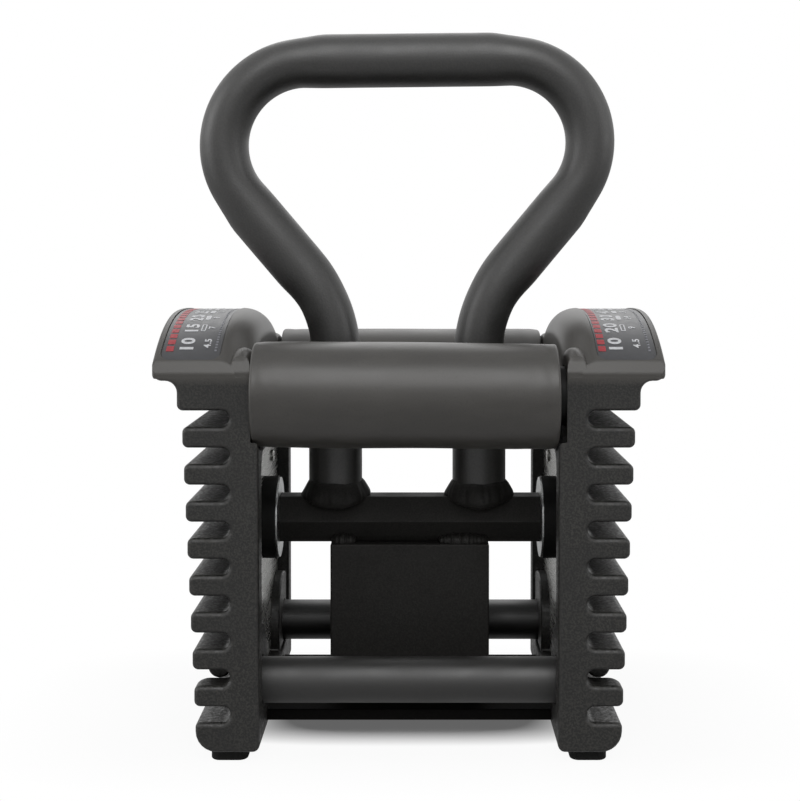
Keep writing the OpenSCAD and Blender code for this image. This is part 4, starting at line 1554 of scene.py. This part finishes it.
@dataclass
class WeldedCore:
    """Hexagonal crossbar with its collars, the counterweight below it and every weld bead."""

    hex_z: float = 93.0
    flats: float = 21.5
    bar_half: float = 74.5
    leg_x: float = 34.4
    leg_shift: float = -1.25
    block_half_x: float = 37.5
    block_half_y: float = 12.5
    block_low: float = 14.0
    soft_edge: float = 0.9
    collar_x: tuple[float, float] = (62.8, 70.0)
    collar_radii: tuple[float, float] = (12.5, 19.5)
    # Sections (radius from the leg's axis, height) of a leg's bead, at its sides and at its front and rear.
    side_section: tuple[tuple[float, float], ...] = (
        (12.0, 110.9), (12.75, 111.1), (13.6, 109.9), (14.8, 107.8), (15.9, 106.0),
        (16.5, 104.6), (16.4, 103.6), (14.0, 103.2), (9.0, 103.0), (9.0, 107.0))
    front_section: tuple[tuple[float, float], ...] = (
        (12.0, 110.6), (12.75, 110.9), (13.9, 109.8), (15.1, 107.4), (15.9, 104.6),
        (15.8, 101.8), (14.8, 99.6), (12.4, 98.6), (8.0, 98.8), (8.0, 106.0))
    # Start, end and phase of each bead in the groove between crossbar and block.
    groove_beads: tuple[tuple[float, float, float], ...] = ((-37.3, -25.5, 0.5), (13.5, 37.3, 1.7))

    @property
    def corner_radius(self) -> float:
        """Distance from the crossbar's axis to its corners."""
        return self.flats / 2 / math.cos(math.radians(30))

    @property
    def hex_low(self) -> float:
        """Height of the crossbar's lower flat, on which the block hangs."""
        return self.hex_z - self.flats / 2

    def crossbar(self) -> Shell:
        """Carry a hexagon with slightly rounded corners along X."""
        corners = hexagon_corners(self.corner_radius, self.hex_z)
        return rounded_slab(corners, [self.soft_edge] * 6, 0, -self.bar_half, self.bar_half, 0.6, 5)

    def leg_weld(self, x: float, seed: float) -> Shell:
        """Wrap a weld bead round the foot of one leg.

        The section is a closed loop. It starts on the tube, bulges out, and meets the crossbar, level at
        the sides and further down at the front and rear, where the flats slope away. Its height and width
        wander as sums of sine waves round the leg, and low uneven ripples follow the welder's steps.

        Args:
            x: middle of the leg.
            seed: phase that makes the two beads differ.

        Returns:
            The closed shell.
        """
        steps = 240
        angle = np.linspace(0, 2 * math.pi, steps, endpoint=False)
        facing = np.abs(np.sin(angle)) ** 1.4
        side, front = np.array(self.side_section), np.array(self.front_section)
        fine = np.linspace(0, 1, 37)
        keys = np.linspace(0, 1, len(side))
        side = np.stack([np.interp(fine, keys, side[:, k]) for k in (0, 1)], 1)
        front = np.stack([np.interp(fine, keys, front[:, k]) for k in (0, 1)], 1)
        section = side[:, None] + facing[None, :, None] * (front - side)[:, None]
        outer = np.sin(np.clip(fine / 0.78, 0, 1) * math.pi)[:, None] ** 0.7
        wide = ripple(angle, angle * 0, ((2, 0, seed), (5, 0, 1.3 * seed), (9, 0, 2.1 + seed)))
        drift = 2.2 * np.sin(2 * angle + seed) + 1.1 * np.sin(5 * angle + 2 * seed)
        bead_steps = ripple(angle, fine[:, None] * 3 + drift,
                            ((23, 1.6, seed), (31, -1.1, 2 + seed), (13, 2, 0)))
        radius = section[..., 0] + outer * (0.7 * wide + 0.16 * bead_steps)
        height = section[..., 1] + outer * 0.6 * ripple(angle, angle * 0, ((3, 0, seed + 1), (7, 0, seed)))
        points = np.stack([x + radius * np.cos(angle), radius * np.sin(angle), height], -1)
        return Shell(points.reshape(-1, 3), grid_faces(len(fine), steps, closed=True))

    def groove_weld(self, low: float, high: float, side: int, seed: float) -> Shell:
        """Fill part of the groove between crossbar and block with a lumpy bead.

        The bead's section is a quarter-round fillet that shrinks to a point at both ends as the square
        root of a parabola, with ripples along its length.

        Args:
            low: start of the bead along X.
            high: end of the bead along X.
            side: -1 for the front, 1 for the rear.
            seed: phase that makes the beads differ.

        Returns:
            The closed shell.
        """
        rows, columns = 60, 24
        share = np.linspace(0.004, 0.996, rows)
        x = low + share * (high - low)
        swell = np.clip(4 * share * (1 - share), 0, 1) ** 0.35
        lump = 1 + 0.14 * ripple(x, x * 0, ((1.9, 0, seed), (0.9, 0, 2 * seed), (3.4, 0, seed + 1)))
        size = (swell * lump)[:, None]
        angle = np.linspace(0, 2 * math.pi, columns, endpoint=False)
        centre_y, centre_z, half_width, half_height = 7.8, self.hex_low + 0.9, 4.1, 3.6
        y = centre_y + size * half_width * np.cos(angle)
        z = centre_z + size * half_height * np.sin(angle)
        rings = np.stack([np.repeat(x[:, None], columns, 1), side * y, z], -1)
        return loft(rings)

    def ring(self) -> Shell:
        """Shape the zinc ring on the collar: a flat washer whose inner edge follows the hexagon.

        At angle a the inner radius is half the width across flats over cos(30 - |a|), with a folded into
        -30 to 30 degrees about the nearest corner.

        Returns:
            The closed shell.
        """
        steps = 144
        angle = np.linspace(0, 2 * math.pi, steps, endpoint=False)
        fold = (angle + math.radians(30)) % math.radians(60) - math.radians(30)
        inner = (self.flats / 2 + 0.25) / np.cos(math.radians(30) - np.abs(fold))
        outer, low, high, edge = 19.0, 62.0, 62.8, 0.25
        turn = np.linspace(0, math.pi / 2, 4)
        x = np.concatenate([[low, low], low + edge * (1 - np.cos(turn)), [high, high]])
        out = np.concatenate([outer - edge + edge * np.sin(turn), [outer]])
        r = np.stack([inner, inner + 0.3] + [np.full(steps, value) for value in out] + [inner])
        points = np.stack([np.repeat(x[:, None], steps, 1), r * np.cos(angle),
                           self.hex_z + r * np.sin(angle)], -1)
        return Shell(points.reshape(-1, 3), grid_faces(len(x), steps, closed=True))

    def build(self, finishes: Finishes) -> None:
        """Build the crossbar, collars, counterweight and welds.

        Args:
            finishes: the materials.
        """
        finish_piece(make_object("hex_crossbar", self.crossbar()), finishes.core, ("crossbar",), 40)
        for side in Side:
            name = side.value
            profile = loop_profile(*self.collar_x, *self.collar_radii, 0.5)
            collar = lathe(profile, 0, self.hex_z, 120, closed=True)
            piece = make_object(f"{name}_black_collar", side.place(collar))
            finish_piece(piece, finishes.collar, (f"{name}_crossbar_collar",))
            piece = make_object(f"{name}_zinc_ring", side.place(self.ring()))
            finish_piece(piece, finishes.zinc, (f"{name}_collar_ring",))
        outline = rectangle(-self.block_half_x, self.block_half_x, -self.block_half_y, self.block_half_y)
        block = rounded_slab(outline, [self.soft_edge] * 4, 2, self.block_low, self.hex_low, self.soft_edge)
        finish_piece(make_object("steel_counterweight", block), finishes.core, ("counterweight",))
        welds = [self.leg_weld(self.leg_shift + x, seed)
                 for x, seed in ((-self.leg_x, 0.4), (self.leg_x, 2.3))]
        piece = make_object("leg_weld_beads", welds[0].joined(welds[1]))
        finish_piece(piece, finishes.core, ("handle_welds",), 60)
        beads = [self.groove_weld(low, high, side, seed + side) for side in (-1, 1)
                 for low, high, seed in self.groove_beads]
        piece = make_object("groove_weld_beads", beads[0].joined(*beads[1:]))
        finish_piece(piece, finishes.core, ("counterweight_welds",), 60)


@dataclass(frozen=True)
class PadPlace:
    """Where one pad lies on its rod.

    It holds the rod's depth, the pad's ends along X, how far the foam lies above the rod's axis at the
    left end, how far it drops to the right end, and the phase of its wrinkles.
    """

    y: float
    low: float
    high: float
    lift: float
    droop: float
    seed: float


@dataclass
class FoamSleeve:
    """Foam pad over an upper rod, crowned along its length, with soft worn ends."""

    radius: float = 23.05
    bore: float = 12.75
    z: float = 157.4
    end_round: float = 1.3
    crown_loss: float = 0.45
    wrinkle: float = 0.35
    wrinkle_reach: float = 7.0
    wave: float = 0.18
    fill: float = 0.95
    front: PadPlace = PadPlace(-61.0, -67.2, 64.2, 0.5, 0.9, 0.6)
    rear: PadPlace = PadPlace(61.0, -66.6, 67.2, 0.0, 0.1, 2.1)

    def sleeve(self, place: PadPlace) -> Shell:
        """Turn the sleeve's section about its rod, with a crown, a slight droop and shallow wrinkles.

        The outer radius is R less a fourth-power curve towards the ends and less a quarter circle at each
        end. Wrinkles are sine waves that fade with the distance from the ends.

        Args:
            place: where the pad lies.

        Returns:
            The closed shell.
        """
        steps = 144
        angle = np.linspace(0, 2 * math.pi, steps, endpoint=False)
        turn = np.linspace(0, math.pi / 2, 9)
        soft, low, high, seed = self.end_round, place.low, place.high, place.seed
        x_out = np.concatenate([low + soft * (1 - np.cos(turn)),
                                np.linspace(low + soft, high - soft, 120)[1:-1],
                                high - soft + soft * np.cos(turn[::-1])])
        loss = np.concatenate([soft * (1 - np.sin(turn)), np.zeros(118), soft * (1 - np.sin(turn[::-1]))])
        middle, half = (low + high) / 2, (high - low) / 2
        share = (x_out - middle) / half
        radius = (self.radius - self.crown_loss * share ** 4 - loss)[:, None]
        x_grid = x_out[:, None]
        edge = np.exp(-(half - np.abs(x_grid - middle)) / self.wrinkle_reach)
        wrinkle = ripple(x_grid, angle[None], ((0.55, 3, seed), (0.9, -5, 1 + seed), (0.3, 7, 2 * seed)))
        slow = ripple(x_grid, angle[None], ((0.05, 2, seed), (0.09, -1, seed + 2)))
        radius = radius + self.wrinkle * edge * wrinkle + self.wave * slow
        inner_x = np.linspace(high, low, 12)
        inner = np.full((12, steps), self.bore)
        x_all = np.concatenate([np.repeat(x_grid, steps, 1), np.repeat(inner_x[:, None], steps, 1)])
        r_all = np.concatenate([radius, inner])
        rise = place.lift - place.droop * ((x_all - low) / (high - low)) ** 1.5
        # The bore stays on the rod.
        rise[len(x_out):] = 0.0
        points = np.stack([x_all, place.y + r_all * np.cos(angle),
                           self.z + rise + r_all * np.sin(angle)], -1)
        return Shell(points.reshape(-1, 3), grid_faces(len(x_all), steps, closed=True))

    def build(self, finishes: Finishes) -> None:
        """Build the front and rear pads.

        Args:
            finishes: the materials.
        """
        for name, place in (("front", self.front), ("rear", self.rear)):
            piece = make_object(f"{name}_foam_pad", self.sleeve(place))
            finish_piece(piece, finishes.foam, (f"{name}_pad",), 50)


@dataclass
class BaseParts:
    """Base plate, rubber feet, lower rods and plate screws."""

    rod_y: float = 51.0
    rod_z: float = 30.0
    rod_half: float = 74.5
    rod_radius: float = 10.0
    rod_chamfer: float = 0.6
    plate_half_x: float = 68.0
    plate_half_y: float = 43.0
    plate_z: tuple[float, float] = (9.0, 14.0)
    foot_x: tuple[float, float] = (69.75, 85.75)
    foot_y: float = 47.5
    foot_half: float = 21.0
    foot_height: float = 5.4
    screw_y: float = 31.6
    screw_z: float = 118.0
    screw_face: float = 70.0
    screw_height: float = 1.6
    screw_radius: float = 3.0
    recess_radius: float = 1.15

    def rod(self, y: float) -> Shell:
        """Turn one lower rod with a small chamfer at both ends.

        Args:
            y: depth of the rod.

        Returns:
            The closed shell.
        """
        x = np.linspace(self.rod_chamfer - self.rod_half, self.rod_half - self.rod_chamfer, 24)
        end = self.rod_radius - self.rod_chamfer
        profile = np.concatenate([[(-self.rod_half, end)], np.stack([x, np.full(24, self.rod_radius)], 1),
                                  [(self.rod_half, end)]])
        return lathe(profile, y, self.rod_z, 96)

    def foot(self, y: float) -> Shell:
        """Shape one rubber foot: a rounded block with a soft lower edge."""
        outline = rectangle(*self.foot_x, y - self.foot_half, y + self.foot_half)
        return rounded_slab(outline, [4.0] * 4, 2, 0.0, self.foot_height, 0.8)

    def screw(self, y: float, z: float) -> Shell:
        """Turn one low screw head on the face of the side plate.

        Its section is a quarter of an ellipse over a short cylinder, with a small round recess.

        Args:
            y: depth of the screw.
            z: height of the screw.

        Returns:
            The closed shell.
        """
        top, inner = self.screw_face - self.screw_height, self.recess_radius
        turn = np.linspace(0, math.pi / 2, 7)[::-1]
        x = np.concatenate([[top + 0.8, top + 0.8, top], top + 0.9 * (1 - np.sin(turn)),
                            [self.screw_face + 0.3]])
        r = np.concatenate([[0.05, 1.0, inner], inner + (self.screw_radius - inner) * np.cos(turn),
                            [self.screw_radius]])
        return lathe(np.stack([x, r], 1), y, z, 40)

    def build(self, finishes: Finishes) -> None:
        """Build all the base parts.

        Args:
            finishes: the materials.
        """
        for name, y in (("front", -self.rod_y), ("rear", self.rod_y)):
            piece = make_object(f"{name}_steel_rod", self.rod(y))
            finish_piece(piece, finishes.rod, (f"{name}_lower_rod",))
        outline = rectangle(-self.plate_half_x, self.plate_half_x, -self.plate_half_y, self.plate_half_y)
        plate = rounded_slab(outline, [1.0] * 4, 2, *self.plate_z, 0.6)
        finish_piece(make_object("steel_base_plate", plate), finishes.base, ("base_plate",))
        for side in Side:
            feet = self.foot(-self.foot_y).joined(self.foot(self.foot_y))
            piece = make_object(f"{side.value}_rubber_feet", side.place(feet))
            finish_piece(piece, finishes.rubber, (f"{side.value}_feet",))
        right = self.screw(-self.screw_y, self.screw_z).joined(self.screw(self.screw_y, self.screw_z))
        piece = make_object("plate_screw_heads", right.joined(right.mirrored()))
        finish_piece(piece, finishes.plate, ("side_plate_screws",))


@dataclass
class KeptNodes:
    """CAD nodes that stay as they are and only take a better material."""

    def build(self, finishes: Finishes) -> None:
        """Give each kept node its material.

        Args:
            finishes: the materials.
        """
        # The pad rods take the black collar finish as painted shade, so that the gap at each pad's end looks
        # dark.
        chosen = {"left_side_plate": finishes.plate, "right_side_plate": finishes.plate,
                  "front_pad_rod": finishes.collar, "rear_pad_rod": finishes.collar}
        for name, material in chosen.items():
            node = bpy.data.objects[name]
            for slot in node.material_slots:
                slot.material = material
            log.info("%s keeps its CAD shape, in %s", name, material.name)


@dataclass(frozen=True)
class Softbox:
    """Square soft lamp: its name, its place and size in metres, and its power in watts."""

    name: str
    at: tuple[float, float, float]
    size: float
    power: float


@dataclass
class Studio:
    """Pale floor, white surroundings, soft lamps and the camera, all in metres."""

    lens_mm: float = 61.5
    camera_at: tuple[float, float, float] = (0.0044, -0.6546, 0.2162)
    pitch: float = 1.25
    shift_x: float = -0.0238
    shift_y: float = -0.1379
    floor_half: float = 4.0
    floor_stretch: float = 0.55
    core_reach: tuple[float, float] = (0.0010, 0.0026)
    rim_reach: tuple[float, float] = (0.0036, 0.012)
    floor_glow: float = 0.12
    core_glow: float = 0.94
    rim_glow: float = 0.06
    floor_shine: float = 0.2
    ambient: float = 0.04
    aim_z: float = 0.15
    lamps: tuple[Softbox, ...] = (
        Softbox("front_softbox", (0.0, -1.3, 1.45), 1.2, 14.5),
        Softbox("rear_softbox", (0.0, 1.3, 1.3), 1.2, 4.6),
        Softbox("left_softbox", (-1.6, -0.3, 0.7), 1.0, 7.5),
        Softbox("right_softbox", (1.6, -0.3, 0.7), 1.0, 3.5))

    def floor(self) -> None:
        """Lay a large floor that looks white but keeps the object's shadow near it.

        To the camera it glows white, apart from a rounded patch under the object where the lit paper and
        its shadow show. Polished pieces see a little of that glow too.
        """
        half = self.floor_half
        corners = [(x, y, 0) for x, y in rectangle(-half, half, -half, half)]
        mesh = bpy.data.meshes.new("studio_floor")
        mesh.from_pydata(corners, [], [(0, 1, 2, 3)])
        piece = bpy.data.objects.new("studio_floor", mesh)
        bpy.context.scene.collection.objects.link(piece)
        material, tree, output = new_material("pale_studio_floor")
        place = add_node(tree, "ShaderNodeTexCoord")
        flat = add_node(tree, "ShaderNodeMapping", {
            "Vector": place.outputs["Object"], "Scale": (self.floor_stretch, 1.0, 1.0)})
        square = add_node(tree, "ShaderNodeVectorMath", {
            0: flat.outputs["Vector"], 1: flat.outputs["Vector"]}, operation="MULTIPLY")
        # The length of the squared vector stays the same along a rectangle with rounded corners.
        reach = add_node(tree, "ShaderNodeVectorMath", {0: square.outputs["Vector"]}, operation="LENGTH")
        core = ramp(tree, reach.outputs["Value"], *self.core_reach, self.floor_glow, self.core_glow)
        rim = ramp(tree, reach.outputs["Value"], *self.rim_reach, 0.0, self.rim_glow)
        near = add_node(tree, "ShaderNodeMath", {0: core, 1: rim}, operation="ADD").outputs[0]
        paper = add_node(tree, "ShaderNodeBsdfDiffuse", {"Color": linear("#f6f6f6")})
        glow = add_node(tree, "ShaderNodeEmission", {"Color": (1, 1, 1, 1), "Strength": 1.0})
        path = add_node(tree, "ShaderNodeLightPath")
        direct = add_node(tree, "ShaderNodeMath", {0: near, 1: path.outputs["Is Camera Ray"]},
                          operation="MULTIPLY")
        shine = add_node(tree, "ShaderNodeMath", {0: path.outputs["Is Glossy Ray"], 1: self.floor_shine},
                         operation="MULTIPLY")
        seen = add_node(tree, "ShaderNodeMath", {0: direct.outputs[0], 1: shine.outputs[0]},
                        operation="MAXIMUM")
        mixed = add_node(tree, "ShaderNodeMixShader", {
            0: seen.outputs[0], 1: paper.outputs[0], 2: glow.outputs[0]})
        tree.links.new(mixed.outputs[0], output.inputs[0])
        mesh.materials.append(material)

    def surroundings(self) -> None:
        """Light the scene evenly, and show white to the camera and in reflections."""
        world = bpy.data.worlds.new("studio_tent")
        world.use_nodes = True
        tree = world.node_tree
        tree.nodes.clear()
        path = add_node(tree, "ShaderNodeLightPath")
        shine = add_node(tree, "ShaderNodeMath", {
            0: path.outputs["Is Camera Ray"], 1: path.outputs["Is Glossy Ray"]}, operation="MAXIMUM")
        seen = add_node(tree, "ShaderNodeMath", {0: shine.outputs[0], 1: path.outputs["Is Transmission Ray"]},
                        operation="MAXIMUM")
        soft = add_node(tree, "ShaderNodeBackground", {"Color": (1, 1, 1, 1), "Strength": self.ambient})
        white = add_node(tree, "ShaderNodeBackground", {"Color": (1, 1, 1, 1), "Strength": 1.0})
        mixed = add_node(tree, "ShaderNodeMixShader", {
            0: seen.outputs[0], 1: soft.outputs[0], 2: white.outputs[0]})
        output = add_node(tree, "ShaderNodeOutputWorld")
        tree.links.new(mixed.outputs[0], output.inputs[0])
        bpy.context.scene.world = world

    def hang(self, box: Softbox) -> None:
        """Hang one soft lamp that points at the middle of the object.

        Args:
            box: the lamp's sizes.
        """
        light = bpy.data.lights.new(box.name, "AREA")
        light.size = box.size
        light.energy = box.power
        lamp = bpy.data.objects.new(box.name, light)
        lamp.location = box.at
        aim = Vector((-box.at[0], -box.at[1], self.aim_z - box.at[2]))
        lamp.rotation_euler = aim.to_track_quat("-Z", "Y").to_euler()
        bpy.context.scene.collection.objects.link(lamp)

    def camera(self) -> None:
        """Place the camera above the hoods, looking almost level, its lens shifted to frame it."""
        data = bpy.data.cameras.new("studio_camera")
        data.sensor_fit = "HORIZONTAL"
        data.sensor_width = 36.0
        data.lens = self.lens_mm
        data.shift_x = self.shift_x
        data.shift_y = self.shift_y
        data.clip_start = 0.01
        camera = bpy.data.objects.new("studio_camera", data)
        camera.location = self.camera_at
        camera.rotation_euler = (math.radians(90 - self.pitch), 0, 0)
        bpy.context.scene.collection.objects.link(camera)
        bpy.context.scene.camera = camera

    def build(self) -> None:
        """Set up the whole studio."""
        self.floor()
        self.surroundings()
        for box in self.lamps:
            self.hang(box)
        self.camera()
        bpy.context.scene.view_settings.view_transform = "Standard"


def main() -> None:
    """Build every sub-assembly in order."""
    logging.basicConfig(level=logging.INFO, format="%(name)s: %(message)s")
    Studio().build()
    finishes = Finishes()
    for assembly in (EndHousing(), HoodLabel(), TubeHandle(), WeldedCore(), FoamSleeve(), BaseParts(),
                     KeptNodes()):
        log.info("building %s", type(assembly).__name__)
        assembly.build(finishes)


if __name__ == "__main__":
    main()
